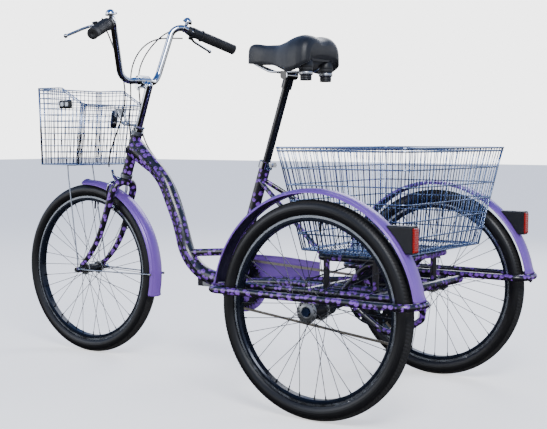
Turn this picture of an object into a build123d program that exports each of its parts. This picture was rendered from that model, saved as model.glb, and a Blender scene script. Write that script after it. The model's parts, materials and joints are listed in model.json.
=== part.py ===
"""Adult tricycle with a low swan-neck frame, two driven-axle rear wheels and two wire baskets.

Frame of reference while modelling: +X forward, +Y to the rider's left, +Z up, origin on the ground
under the rear axle. Every piece is moved along X on export, so that the written parts stand with the
middle of their overall box at X = 0. All sizes are in millimetres.
"""
from build123d import *
import os
from math import acos, asin, atan2, cos, degrees, pi, radians, sin, sqrt, tan

# ---- driving dimensions -------------------------------------------------------------------------
WHEELBASE = 1187.0          # front axle to rear axle
TRACK = 739.0               # rear wheel planes, left to right
TYRE_R = 302.0              # outer radius of all three tyres
TYRE_W = 48.0               # tyre section width
TYRE_WALL = 3.5
RIM_R = 260.0               # top of the rim flanges
RIM_W = 28.0
RIM_DEPTH = 17.0            # rim flange top to rim inner face
SPOKES = 36
SPOKE_R = 1.0
HUB_FLANGE_R = 31.0
FRONT_FLANGE_R = 22.0
AXLE_R = 8.5                # rear drive axle
FRONT_AXLE_R = 4.9
RUN = 0.05                  # radial running clearance of shafts
GAP = 0.6                   # clearance between pieces that only pass each other

HEAD_BOTTOM = (1014.0, 643.0)
HEAD_ANGLE = 19.1           # steering axis, degrees from vertical
HEAD_LENGTH = 146.0
HEAD_R = 18.0
STEERER_R = 14.3
QUILL_R = 12.7
MAIN_TUBE_R = 25.0
FRAME_WALL = 2.0
BB = (548.0, 290.0)         # bottom bracket centre
BB_WIDTH = 68.0
SEAT_ANGLE = 17.9           # seat tube, degrees from vertical
SEAT_TUBE_TOP_Z = 696.0
SEAT_TUBE_R = 18.0
SEAT_POST_R = 12.7
SEAT_POST_TOP_Z = 950.0
SEAT_POST_IN = 150.0        # length of post inside the tube

CARRIER_Z = 328.0           # centre height of the axle carrier tubes
CARRIER_X = 115.0           # cross tubes in front of and behind the axle
CARRIER_R = 12.5
RAIL_R = 11.0
INNER_RAIL_Y = 95.0
RACK_RAIL_Y = 180.0
HOOP_Z = 342.0
HOOP_R = 10.0
HOOP_IN_Y = 310.0
HOOP_OUT_Y = 430.0
HOOP_FRONT_X = 323.0
HOOP_REAR_X = -323.0
RACK_Z = 425.0
RACK_FRONT_X = 110.0
RACK_REAR_X = -130.0
RACK_R = 9.5

FENDER_R = 333.0            # rear mudguards, outer radius
FRONT_FENDER_R = 318.0
FENDER_HALF_W = 31.0
FENDER_T = 1.6

CHAINRING_TEETH = 40
COG_TEETH = [28, 24, 22, 20, 18, 16, 14]
COG_STEP = 5.0
COG_T = 1.8
PULLEY_TEETH = 11
NOMINAL_PITCH = 12.7
CHAIN_Y = -45.0
ROLLER_R = 3.9
CRANK_LENGTH = 170.0
CRANK_RISE = 5.0            # degrees the left arm points above straight back
GUARD_R = 95.0
GUIDE = (-18.0, 222.0)      # derailleur pulley centres
TENSION = (-50.0, 165.0)
ROTOR_R = 85.0
ROTOR_Y = 50.0

BASKET_WALL = 1.0
BASKET_TOP_Z = 742.0
BASKET_BOTTOM_Z = 451.0
FRONT_BASKET_TOP_Z = 943.0
FRONT_BASKET_LOW_Z = 877.0
FRONT_BASKET_BOTTOM_Z = 675.0

BAR_R = 11.1
BAR_CLAMP_R = 12.7
BAR_CLAMP = (938.0, 0.0, 964.0)
BAR_POINTS = [BAR_CLAMP, (938.0, 38.0, 964.0), (956.0, 88.0, 958.0), (930.0, 160.0, 1175.0),
              (889.0, 205.0, 1146.0),
              (823.0, 359.0, 1092.0)]
BAR_BENDS = [40.0, 50.0, 42.0, 80.0]
GRIP_START = 40.0           # along the bar's end run, where the grips begin
GRIP_R = 16.5
LEVER_PIVOT = (923.0, 245.0, 1134.0)
LEVER_TIP = (934.0, 367.0, 1089.0)
CABLE_R = 2.5

# half width of the saddle at each x, nose to tail
SADDLE_ROWS = [(482, 14), (470, 24), (430, 31), (380, 42), (330, 66), (290, 94), (250, 106), (215, 104),
               (198, 84)]
SADDLE_DECK_Z = 1011.0      # underside of the padding
SADDLE_WALL = 9.0           # thickness of the padding's side skirt
SPRING_AT = (233.0, 56.0)   # the two rubber springs under the saddle
RAIL_WIRE_R = 3.5

HALF_TRACK = TRACK / 2
FRONT_HUB = (WHEELBASE, 0.0, TYRE_R)
MIDDLE_X = ((WHEELBASE + TYRE_R) + (HOOP_REAR_X - HOOP_R)) / 2
SIDES = (1, -1)


# ---- helpers ------------------------------------------------------------------------------------
def rod(a, b, r):
    """Round bar from a to b."""
    a, b = Vector(*a), Vector(*b)
    return Solid.make_cylinder(r, (b - a).length, Plane(a, z_dir=b - a))


def cone(a, b, ra, rb):
    """Tapered bar from a to b."""
    a, b = Vector(*a), Vector(*b)
    return Solid.make_cone(ra, rb, (b - a).length, Plane(a, z_dir=b - a))


def pipe(points, bends, r):
    """Bar bent along points, with one bend radius for each inner point."""
    if len(points) == 2:
        return rod(points[0], points[1], r)
    path = FilletPolyline(*points, radius=bends)
    return sweep(Plane(path @ 0, z_dir=path % 0) * Circle(r), path).solid()


def loop(x0, x1, y0, y1, z, corner, r):
    """Closed round bar along a rectangle with rounded corners, lying flat at height z."""
    centre = Pos((x0 + x1) / 2, (y0 + y1) / 2, z)
    path = (centre * RectangleRounded(abs(x1 - x0), abs(y1 - y0), corner)).face().outer_wire()
    return sweep(Plane(path @ 0, z_dir=path % 0) * Circle(r), path).solid()


def block(x0, x1, y0, y1, z0, z1):
    """Box between two corners."""
    centre = Pos((x0 + x1) / 2, (y0 + y1) / 2, (z0 + z1) / 2)
    return (centre * Box(abs(x1 - x0), abs(y1 - y0), abs(z1 - z0))).solid()


def fuse(pieces):
    """One shape from pieces that meet."""
    first, *rest = pieces
    return first.fuse(*rest) if rest else first


def cut(shape, tools):
    """Shape with every tool taken away."""
    return shape.cut(*tools)


def weld(tubes, wall, extra=(), bores=()):
    """Hollow tubes welded together: outsides joined, then insides and bores taken away."""
    outside = fuse([pipe(*t) for t in tubes] + list(extra))
    inside = [pipe(points, bends, r - wall) for points, bends, r in tubes]
    return cut(outside, inside + list(bores))


def mirrored(shape):
    """The same piece on the rider's other side."""
    return mirror(shape, Plane.XZ)


def both(shape):
    """A left piece and its mirror image."""
    return [shape, mirrored(shape)]


def along(a, b, distance):
    """Point at a distance from a towards b."""
    a, b = Vector(*a), Vector(*b)
    p = a + (b - a).normalized() * distance
    return (p.X, p.Y, p.Z)


def steer(distance, forward=0.0, y=0.0):
    """Point on the steering axis, measured up it from the head tube's lower end."""
    s, c = sin(radians(HEAD_ANGLE)), cos(radians(HEAD_ANGLE))
    x, z = HEAD_BOTTOM
    return (x - s * distance + c * forward, y, z + c * distance + s * forward)


def seat_axis(z):
    """Point on the seat tube's axis at height z."""
    return (BB[0] - (z - BB[1]) * tan(radians(SEAT_ANGLE)), 0.0, z)


def around(centre, angle, r, y=0.0):
    """Point at an angle and radius about a wheel centre, angle from forward towards up."""
    return (centre[0] + r * cos(radians(angle)), centre[1] + y, centre[2] + r * sin(radians(angle)))


def save(name, pieces):
    """Writes one part, moved so that the whole tricycle is centred on X = 0."""
    solids = [s for p in pieces for s in p.solids()]
    shape = solids[0] if len(solids) == 1 else Compound(children=solids)
    export_step(Pos(-MIDDLE_X, 0, 0) * shape, f"parts/{name}.step")


# ---- frame --------------------------------------------------------------------------------------
def main_frame():
    head_top, head_low = steer(HEAD_LENGTH), steer(0)
    swan = [steer(HEAD_LENGTH * 0.78), (842, 0, 630), (772, 0, 480), (733, 0, 327), (BB[0], 0, BB[1])]
    tubes = [(swan, [200, 400, 160], MAIN_TUBE_R),
             ([(735, 0, 384), seat_axis(402)], [], 12.5)]
    for side in SIDES:
        stay = [(BB[0] - 8, side * 20, BB[1] + 6), (BB[0] - 108, side * 26, 310), (340, side * 36, 317),
                (CARRIER_X + 5, side * INNER_RAIL_Y, CARRIER_Z + 1)]
        tubes.append((stay, [300, 300], RAIL_R))
        upper = seat_axis(SEAT_TUBE_TOP_Z - 60)
        tubes.append(([(upper[0], side * 12, upper[2]), (RACK_FRONT_X + 2, side * (RACK_RAIL_Y - 32),
                                                         RACK_Z + 4)],
                      [], 8.0))
    flare = cone(steer(HEAD_LENGTH * 0.7), (895, 0, 674), 36, MAIN_TUBE_R)
    head = rod(head_low, head_top, HEAD_R)
    shell = rod((BB[0], BB_WIDTH / 2, BB[1]), (BB[0], -BB_WIDTH / 2, BB[1]), 20)
    bores = [rod(steer(-60), steer(HEAD_LENGTH + 60), STEERER_R + 1.2),
             rod(seat_axis(SEAT_TUBE_TOP_Z - SEAT_POST_IN - 90), seat_axis(SEAT_TUBE_TOP_Z + 5),
                 SEAT_POST_R + RUN),
             rod((BB[0], BB_WIDTH, BB[1]), (BB[0], -BB_WIDTH, BB[1]), 17)]
    tube_floor = SEAT_TUBE_TOP_Z - SEAT_POST_IN - 89
    seat_tube = rod(seat_axis(BB[1]), seat_axis(SEAT_TUBE_TOP_Z), SEAT_TUBE_R)
    seat_core = rod(seat_axis(BB[1]), seat_axis(tube_floor), SEAT_TUBE_R - FRAME_WALL)
    return [weld(tubes, FRAME_WALL, [flare, head, shell, seat_tube], [seat_core] + bores)]


def rear_carrier():
    reach = HOOP_IN_Y - HOOP_R + 3
    tubes = [([(x, -reach, CARRIER_Z), (x, reach, CARRIER_Z)], [], CARRIER_R) for x in (CARRIER_X,
                                                                                        -CARRIER_X)]
    tubes += [([(CARRIER_X, y, CARRIER_Z), (-CARRIER_X, y, CARRIER_Z)], [], RAIL_R)
              for y in (INNER_RAIL_Y, -INNER_RAIL_Y, RACK_RAIL_Y, -RACK_RAIL_Y)]
    return [weld(tubes, FRAME_WALL)]


def wheel_hoop(guarded):
    ring = loop(HOOP_REAR_X, HOOP_FRONT_X, HOOP_IN_Y, HOOP_OUT_Y, HOOP_Z, 40, HOOP_R)
    core = loop(HOOP_REAR_X, HOOP_FRONT_X, HOOP_IN_Y, HOOP_OUT_Y, HOOP_Z, 40, HOOP_R - FRAME_WALL)
    vent = rod((0, HOOP_IN_Y, HOOP_Z), (0, HOOP_IN_Y, HOOP_Z + 2 * HOOP_R), 1.5)
    if not guarded:
        return cut(ring, [core, vent])
    guard = [(-62, HOOP_IN_Y - 3, HOOP_Z - 4), (-112, HOOP_IN_Y - 12, 292), (-180, HOOP_IN_Y - 16, 247),
             (-240, HOOP_IN_Y - 16, 262), (-292, HOOP_IN_Y - 8, 296), (-303, HOOP_IN_Y + 4, HOOP_Z - 4)]
    dropped = pipe(guard, [50, 60, 60, 18], 8.5)
    hollow = pipe(guard, [50, 60, 60, 18], 8.5 - FRAME_WALL)
    return cut(fuse([ring, dropped]), [core, hollow, vent])


def basket_rack():
    inset = 30
    ring = loop(RACK_REAR_X, RACK_FRONT_X, -RACK_RAIL_Y, RACK_RAIL_Y, RACK_Z, inset, RACK_R)
    core = loop(RACK_REAR_X, RACK_FRONT_X, -RACK_RAIL_Y, RACK_RAIL_Y, RACK_Z, inset, RACK_R - FRAME_WALL)
    foot = CARRIER_Z + RAIL_R - 1
    tubes = []
    for side in SIDES:
        y = side * RACK_RAIL_Y
        tubes += [([(x, y, RACK_Z), (x, y, foot)], [], RACK_R) for x in (78, -84)]
        tubes.append(([(18, y, foot), (-48, y, 406), (-112, y, RACK_Z - 2)], [60], 8.0))
        tubes.append(([(RACK_FRONT_X, side * 70, RACK_Z), (RACK_REAR_X, side * 70, RACK_Z)], [], 6.0))
    outside = fuse([ring] + [pipe(*t) for t in tubes])
    vent = rod((0, -RACK_RAIL_Y, RACK_Z), (0, -RACK_RAIL_Y, RACK_Z - 20), 1.5)
    return [cut(outside, [core, vent] + [pipe(p, b, r - FRAME_WALL) for p, b, r in tubes])]


def bearing_cups():
    cups = []
    for low, high, at in ((-12, 0, 0), (HEAD_LENGTH, HEAD_LENGTH + 12, 1)):
        cup = rod(steer(low), steer(high), 21)
        skirt = rod(steer(0 if at == 0 else HEAD_LENGTH - 12), steer(12 if at == 0 else HEAD_LENGTH),
                    STEERER_R + 1.2)
        cups.append(cut(fuse([cup, skirt]), [rod(steer(low - 20), steer(high + 20), STEERER_R + RUN)]))
    for side in SIDES:
        y = side * BB_WIDTH / 2
        cup = fuse([rod((BB[0], y, BB[1]), (BB[0], y + side * 3, BB[1]), 19),
                    rod((BB[0], y, BB[1]), (BB[0], y - side * 16, BB[1]), 17)])
        cups.append(cut(cup, [rod((BB[0], y + side * 9, BB[1]), (BB[0], y - side * 30, BB[1]), 8.5 + RUN)]))
    return cups


def seat_clamp():
    low, high = seat_axis(SEAT_TUBE_TOP_Z - 22), seat_axis(SEAT_TUBE_TOP_Z - 2)
    ring = rod(low, high, SEAT_TUBE_R + 5)
    x, _, z = seat_axis(SEAT_TUBE_TOP_Z - 12)
    ears = block(x - 36, x - 18, -8, 8, z - 8, z + 8)
    slot = block(x - 40, x - 18, -1.2, 1.2, z - 20, z + 20)
    bolt_hole = rod((x - 29, 20, z), (x - 29, -20, z), 3)
    collar = cut(fuse([ring, ears]), [rod(seat_axis(600), seat_axis(760), SEAT_TUBE_R + RUN), slot,
                                      bolt_hole])
    bolt = fuse([rod((x - 29, 16, z), (x - 29, -13, z), 2.9), rod((x - 29, 8.1, z), (x - 29, 15, z), 5.5),
                 rod((x - 29, -8.1, z), (x - 29, -13, z), 5.5)])
    return [collar, bolt]


def arched(centre, radius, start, end, sagitta, half_width=FENDER_HALF_W, flange=3.0):
    """Curved mudguard about a wheel centre, from one angle to a larger one, with rolled edges."""
    crown = (half_width ** 2 + sagitta ** 2) / (2 * sagitta)
    plane = Plane(centre, x_dir=(cos(radians(end)), 0, sin(radians(end))),
                  z_dir=Vector(cos(radians(end)), 0, sin(radians(end))).cross(Vector(0, 1, 0)))
    band = Pos(radius - crown, 0) * (Circle(crown) - Circle(crown - FENDER_T))
    band &= Pos(radius - sagitta / 2, 0) * Rectangle(sagitta, 2 * half_width)
    beads = Pos(radius - sagitta, half_width - flange / 2) * Circle(flange / 2)
    beads += Pos(radius - sagitta, flange / 2 - half_width) * Circle(flange / 2)
    return revolve(plane * (band + beads), Axis(centre, (0, 1, 0)), end - start).solid()


def rear_fender():
    return arched((0, HALF_TRACK, TYRE_R), FENDER_R, 9.0, 171.0, 10)


def frame_bolts():
    bolts = []
    for side in SIDES:
        for x in (HOOP_FRONT_X, HOOP_REAR_X):
            y, z = side * HALF_TRACK, HOOP_Z - HOOP_R
            bolts.append(fuse([rod((x, y, z - 0.1), (x, y, z - 4), 6), rod((x, y, z - 4), (x, y, z - 7), 3)]))
    for x in (RACK_FRONT_X, RACK_REAR_X):
        for side in SIDES:
            bolts.append(rod((x, side * 120, RACK_Z - RACK_R - 5), (x, side * 120, RACK_Z - RACK_R - 0.1), 5))
    return bolts


LIGHT_TOP_Z, LIGHT_LOW_Z, LIGHT_BACK_X, LIGHT_HALF_W = 545.0, 473.0, -304.0, 17.0


def tail_light_housing():
    wedge = block(LIGHT_BACK_X, -190, HALF_TRACK - LIGHT_HALF_W, HALF_TRACK + LIGHT_HALF_W, LIGHT_LOW_Z,
                  LIGHT_TOP_Z)
    wedge = fillet(wedge.edges().filter_by(Axis.X), 5)
    body = rod((0, HALF_TRACK - 60, TYRE_R), (0, HALF_TRACK + 60, TYRE_R), FENDER_R + GAP)
    recess = block(LIGHT_BACK_X - 1, LIGHT_BACK_X + 3, HALF_TRACK - LIGHT_HALF_W + 4,
                   HALF_TRACK + LIGHT_HALF_W - 4,
                   LIGHT_LOW_Z + 4, LIGHT_TOP_Z - 4)
    return cut(wedge, [body, recess])


def tail_light_lens():
    lens = block(LIGHT_BACK_X - 5, LIGHT_BACK_X + 3, HALF_TRACK - LIGHT_HALF_W + 4.2,
                 HALF_TRACK + LIGHT_HALF_W - 4.2, LIGHT_LOW_Z + 4.2, LIGHT_TOP_Z - 4.2)
    return fillet(lens.edges().group_by(Axis.X)[0], 3)


def rounded(x0, x1, half_y, z, corner):
    """Rounded rectangle lying flat, for the baskets."""
    return Pos((x0 + x1) / 2, 0, z) * RectangleRounded(x1 - x0, 2 * half_y, corner)


def tub(top, bottom, corner, wall):
    """Open-topped thin tub between two levels, each given as x0, x1, half width, z."""
    x0, x1, hy, z1 = top
    u0, u1, hv, z0 = bottom
    outer = loft([rounded(u0, u1, hv, z0, corner), rounded(x0, x1, hy, z1, corner)])
    inner = loft([rounded(u0 + wall, u1 - wall, hv - wall, z0 + wall, corner - wall),
                  rounded(x0 + wall, x1 - wall, hy - wall, z1 + 0.01, corner - wall)])
    return cut(outer.solid(), [inner.solid()])


def rear_basket():
    shell = tub((-258, 173, 319.5, BASKET_TOP_Z), (-212, 131, 251.5, BASKET_BOTTOM_Z), 30, BASKET_WALL)
    rim = loop(-258, 173, -319.5, 319.5, BASKET_TOP_Z, 30, 3.0)
    base_low = RACK_Z + RACK_R + 0.2
    base = loft([rounded(-150, 100, 190, base_low, 20), rounded(-160, 110, 205, BASKET_BOTTOM_Z, 20)]).solid()
    hollow = loft([rounded(-149, 99, 189, base_low + BASKET_WALL, 19),
                   rounded(-159, 109, 204, BASKET_BOTTOM_Z + 2 * BASKET_WALL, 19)]).solid()
    return [cut(fuse([shell, base, rim]), [hollow])]


def chain_guard():
    corners = [(250, 334), (250, 379), (380, 388), (BB[0] - 26, BB[1] + GUARD_R + 4), (BB[0], BB[1]),
               (430, 314), (336, 321)]
    depth, wall = 7.0, 1.5
    front = CHAIN_Y - 5

    def solid_outline(inset, thickness):
        plane = Plane((0, front, 0), x_dir=(1, 0, 0), z_dir=(0, -1, 0))
        arm = extrude(plane * offset(Polygon(*corners, align=None), -inset), thickness,
                      dir=(0, -1, 0)).solid()
        disc = rod((BB[0], front, BB[1]), (BB[0], front - thickness, BB[1]), GUARD_R - inset)
        return fuse([arm, disc])

    boss = rod((BB[0], -30, BB[1]), (BB[0], -90, BB[1]), 30)
    tab = block(336, 356, front - 2, front + 5, 314, 328)
    return [fuse([cut(solid_outline(0, depth), [solid_outline(wall, depth - wall), boss]), tab])]


# ---- drivetrain ---------------------------------------------------------------------------------
def belt(circles):
    """Tangent loop over signed circles (x, z, r, turn), turn +1 left about the centre, -1 right.

    Gives, for each circle, the angle where the loop arrives and how far it turns there, and, for each
    straight run, its start point, direction and length."""
    runs = []
    for (x1, z1, r1, t1), (x2, z2, r2, t2) in zip(circles, circles[1:] + circles[:1]):
        dx, dz = x2 - x1, z2 - z1
        heading = atan2(dz, dx) - asin((t2 * r2 - t1 * r1) / sqrt(dx * dx + dz * dz))
        nx, nz = -sin(heading), cos(heading)
        start = (x1 - t1 * r1 * nx, z1 - t1 * r1 * nz)
        end = (x2 - t2 * r2 * nx, z2 - t2 * r2 * nz)
        runs.append((start, heading, sqrt((end[0] - start[0]) ** 2 + (end[1] - start[1]) ** 2)))
    turns = []
    for i, (x, z, r, t) in enumerate(circles):
        before, after = runs[i - 1], runs[i]
        turn = (t * (after[1] - before[1])) % (2 * pi)
        arrive = (before[0][0] + before[2] * cos(before[1]), before[0][1] + before[2] * sin(before[1]))
        turns.append((atan2(arrive[1] - z, arrive[0] - x), turn))
    return turns, runs


def chain_circles(pitch):
    """The four circles the chain runs over, in the order it meets them."""
    teeth = [CHAINRING_TEETH, PULLEY_TEETH, PULLEY_TEETH, COG_TEETH[3]]
    centres = [BB, TENSION, GUIDE, (0.0, TYRE_R)]
    sense = [-1, -1, 1, -1]
    return [(x, z, n * pitch / (2 * pi), t) for (x, z), n, t in zip(centres, teeth, sense)]


def chain_plan():
    """Pitch that closes the loop with a whole even number of links, roller places and tooth phases."""
    pitch = NOMINAL_PITCH
    for _ in range(12):
        circles = chain_circles(pitch)
        turns, runs = belt(circles)
        length = sum(r * turn for (_, _, r, _), (_, turn) in zip(circles, turns)) + sum(r[2] for r in runs)
        links = 2 * round(length / NOMINAL_PITCH / 2)
        pitch = length / links
    stretches, phases, travelled = [], [], 0.0
    for (x, z, r, t), (arrive, turn), (start, heading, run) in zip(circles, turns, runs):
        phases.append(degrees(arrive + t * (-travelled % pitch) / r))
        stretches.append((travelled, travelled + r * turn, ("arc", x, z, r, t, arrive)))
        travelled += r * turn
        stretches.append((travelled, travelled + run, ("run", start, heading)))
        travelled += run
    return pitch, [chain_point(k * pitch, stretches) for k in range(links)], phases


def chain_point(distance, stretches):
    """Point on the chain loop at a distance along it."""
    for begin, end, shape in stretches:
        if distance < end:
            break
    along_it = distance - begin
    if shape[0] == "arc":
        _, x, z, r, t, arrive = shape
        angle = arrive + t * along_it / r
        return (x + r * cos(angle), z + r * sin(angle))
    _, start, heading = shape
    return (start[0] + along_it * cos(heading), start[1] + along_it * sin(heading))


PITCH, ROLLERS, PHASES = chain_plan()


def capsule(length, r, y0, y1):
    """Flat link plate along X, from the first pin centre at the origin."""
    plane = Plane((0, y0, 0), x_dir=(1, 0, 0), z_dir=(0, 1, 0))
    shape = Pos(length / 2, 0) * SlotCenterToCenter(length, 2 * r)
    return extrude(plane * shape, y1 - y0).solid()


def chain():
    inner = fuse([capsule(PITCH, 3.95, s * 1.2, s * 2.2) for s in SIDES]
                 + [rod((x, -1.3, 0), (x, 1.3, 0), ROLLER_R) for x in (0, PITCH)])
    inner = cut(inner, [rod((x, -5, 0), (x, 5, 0), 1.85) for x in (0, PITCH)])
    outer = fuse([capsule(PITCH, 3.7, s * 2.3, s * 3.3) for s in SIDES]
                 + [rod((x, -3.6, 0), (x, 3.6, 0), 1.8) for x in (0, PITCH)])
    links = []
    for i, (a, b) in enumerate(zip(ROLLERS, ROLLERS[1:] + ROLLERS[:1])):
        tilt = degrees(atan2(b[1] - a[1], b[0] - a[0]))
        links.append(Location((a[0], CHAIN_Y, a[1]), (0, -tilt, 0)) * (inner, outer)[i % 2])
    return links


def sprocket(teeth, phase, y, centre, thickness=COG_T, height=3.2):
    """Toothed disc whose roller seats sit at the chain pitch."""
    r = teeth * PITCH / (2 * pi)
    plane = Plane((centre[0], y - thickness / 2, centre[1]), x_dir=(1, 0, 0), z_dir=(0, -1, 0))
    seat = ROLLER_R + 0.25
    gap = Pos(r, 0) * Circle(seat) + Polygon((r, -seat), (r + 7, -seat - 3), (r + 7, seat + 3), (r, seat),
                                             align=None)
    gaps = [Rot(0, 0, phase + 360 * k / teeth) * gap for k in range(teeth)]
    return extrude(plane * (Circle(r + height) - gaps), thickness, dir=(0, 1, 0)).solid()


def chainring():
    ring = sprocket(CHAINRING_TEETH, PHASES[0], CHAIN_Y, BB, thickness=2.0)
    windows = [rod(around((BB[0], 0, BB[1]), 72 * k + 36, 47, -30),
                   around((BB[0], 0, BB[1]), 72 * k + 36, 47, -60), 17)
               for k in range(5)]
    spindle_hole = rod((BB[0], -30, BB[1]), (BB[0], -60, BB[1]), 14)
    return [cut(ring, windows + [spindle_hole])]


def crank_end(side):
    """Pedal axle centre of one crank arm in the plane y = 0."""
    angle = 180 - CRANK_RISE if side > 0 else -CRANK_RISE
    return around((BB[0], 0, BB[1]), angle, CRANK_LENGTH)


def crank_arms():
    spindle = rod((BB[0], -76, BB[1]), (BB[0], 76, BB[1]), 8.5)
    spider = rod((BB[0], CHAIN_Y - 4, BB[1]), (BB[0], CHAIN_Y + 4, BB[1]), 13.9)
    pieces = [spindle, spider]
    for side in SIDES:
        end = crank_end(side)
        y0, y1 = side * 62, side * 74
        arm = tapered_arm((BB[0], BB[1]), (end[0], end[2]), 16, 10.5, y0, y1)
        pieces.append(arm)
        pieces.append(rod((end[0], side * 73, end[2]), (end[0], side * 166, end[2]), 5.0))
    return [fuse(pieces)]


def tapered_arm(a, b, ra, rb, y0, y1):
    """Flat arm between two round ends of different size, given in the X-Z plane."""
    dx, dz = b[0] - a[0], b[1] - a[1]
    d = sqrt(dx * dx + dz * dz)
    lean = acos((ra - rb) / d)
    base = atan2(dz, dx)
    corners = []
    for (x, z), r, s in ((a, ra, 1), (b, rb, 1), (b, rb, -1), (a, ra, -1)):
        corners.append((x + r * cos(base + s * lean), y0, z + r * sin(base + s * lean)))
    face = Face(Wire.make_polygon(corners))
    web = extrude(face, y1 - y0, dir=(0, 1, 0)).solid() if y1 > y0 else extrude(face, y0 - y1,
                                                                                dir=(0, -1, 0)).solid()
    return fuse([web, rod((a[0], y0, a[1]), (a[0], y1, a[1]), ra),
                 rod((b[0], y0, b[1]), (b[0], y1, b[1]), rb)])


def pedal(side):
    x, _, z = crank_end(side)
    body = block(x - 48, x + 48, side * 78, side * 168, z - 13, z + 13)
    body = fillet(body.edges().filter_by(Axis.Z), 9)
    holes = [block(x + s * 30 - 12, x + s * 30 + 12, side * (88 + 38 * k), side * (118 + 38 * k), z - 20,
                   z + 20)
             for s in SIDES for k in range(2)]
    return [cut(body, holes + [rod((x, side * 70, z), (x, side * 167, z), 5.0 + RUN)])]


def freewheel():
    cogs = []
    for i, teeth in enumerate(COG_TEETH):
        phase = PHASES[3] if i == 3 else 90.0
        cogs.append(sprocket(teeth, phase, CHAIN_Y + COG_STEP * (3 - i), (0, TYRE_R)))
    core = rod((0, CHAIN_Y + 18, TYRE_R), (0, CHAIN_Y - 18, TYRE_R), 20)
    bore = rod((0, CHAIN_Y + 40, TYRE_R), (0, CHAIN_Y - 40, TYRE_R), AXLE_R + RUN)
    return [cut(fuse([core] + cogs), [bore])]


PULLEY_BOLT_R = 4.0


def pulley(index, centre):
    wheel = sprocket(PULLEY_TEETH, PHASES[index], CHAIN_Y, centre, height=1.9)
    bore = rod((centre[0], CHAIN_Y - 9, centre[1]), (centre[0], CHAIN_Y + 9, centre[1]), PULLEY_BOLT_R + RUN)
    return [cut(wheel, [bore])]


def derailleur():
    cage = []
    length = sqrt((GUIDE[0] - TENSION[0]) ** 2 + (GUIDE[1] - TENSION[1]) ** 2)
    tilt = degrees(atan2(GUIDE[1] - TENSION[1], GUIDE[0] - TENSION[0]))
    for y0, y1 in ((-6.5, -5.0), (5.0, 6.5)):
        cage.append(Location((TENSION[0], CHAIN_Y, TENSION[1]), (0, -tilt, 0)) * capsule(length, 12, y0, y1))
    for x, z in (GUIDE, TENSION):
        cage.append(rod((x, CHAIN_Y - 8, z), (x, CHAIN_Y + 8, z), PULLEY_BOLT_R))
    knuckle = (-25, 262)
    hanger = block(knuckle[0] - 11, knuckle[0] + 11, -75, -70, knuckle[1], CARRIER_Z + 8)
    foot = block(knuckle[0] - 11, knuckle[0] + 11, -INNER_RAIL_Y + 9, -70, CARRIER_Z - 6, CARRIER_Z + 8)
    pivot = rod((knuckle[0], -80, knuckle[1]), (knuckle[0], -63, knuckle[1]), 9)
    body = rod((knuckle[0], -68, knuckle[1] - 2), (GUIDE[0], -60, GUIDE[1]), 8)
    lower = rod((GUIDE[0], -68, GUIDE[1]), (GUIDE[0], CHAIN_Y - 6, GUIDE[1]), 10)
    return [fuse(cage + [hanger, foot, pivot, body, lower])]


# ---- rear axle ----------------------------------------------------------------------------------
def drive_axle():
    shaft = rod((0, -HALF_TRACK - 44, TYRE_R), (0, HALF_TRACK + 44, TYRE_R), AXLE_R)
    pieces = [shaft, rod((0, ROTOR_Y + 1.5, TYRE_R), (0, ROTOR_Y + 16, TYRE_R), 20)]
    for side in SIDES:
        y0, y1 = side * (HALF_TRACK + 37.2), side * (HALF_TRACK + 44.0)
        nut = extrude(Plane((0, y0, TYRE_R), x_dir=(1, 0, 0), z_dir=(0, side, 0)) * RegularPolygon(13, 6),
                      abs(y1 - y0))
        pieces.append(nut.solid())
    return [fuse(pieces)]


def disc_rotor():
    centre = (0, ROTOR_Y, TYRE_R)
    disc = rod((0, ROTOR_Y - 1, TYRE_R), (0, ROTOR_Y + 1, TYRE_R), ROTOR_R)
    tools = [rod((0, 0, TYRE_R), (0, 100, TYRE_R), AXLE_R + 0.02)]
    for k in range(24):
        tools.append(rod(around(centre, 15 * k, ROTOR_R - 8 - 7 * (k % 2), -9),
                         around(centre, 15 * k, ROTOR_R - 8
                     - 7 * (k % 2), 9), 3.2))
    for k in range(6):
        tools.append(rod(around(centre, 60 * k, 42, -9), around(centre, 60 * k, 42, 9), 15))
    return [cut(disc, tools)]


CALIPER = (-46.0, 358.0)


def disc_caliper():
    x, z = CALIPER
    body = fillet(block(x - 24, x + 24, ROTOR_Y - 16, ROTOR_Y + 16, z - 18,
                        z + 18).edges().filter_by(Axis.Y), 8).solid()
    slot = rod((0, ROTOR_Y - 1.8, TYRE_R), (0, ROTOR_Y + 1.8, TYRE_R), ROTOR_R + 3)
    bracket = block(x - 16, x + 14, ROTOR_Y + 10, INNER_RAIL_Y - RAIL_R + 2, CARRIER_Z - 5, CARRIER_Z + 16)
    bore = rod((x, ROTOR_Y + 5, z), (x, ROTOR_Y + 20, z), 4.0)
    ring_room = rod((0, ROTOR_Y, TYRE_R), (0, ROTOR_Y + 20, TYRE_R), 22)
    return [cut(fuse([body, bracket]), [slot, bore, ring_room])]


def disc_brake_arm():
    x, z = CALIPER
    y0, y1 = ROTOR_Y + 16.4, ROTOR_Y + 20.4
    plate = tapered_arm((x, z), (x + 6, z + 44), 10, 5, y0, y1)
    pin = rod((x, ROTOR_Y + 7, z), (x, y1, z), 4.0 - RUN)
    return [fuse([plate, pin])]


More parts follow.
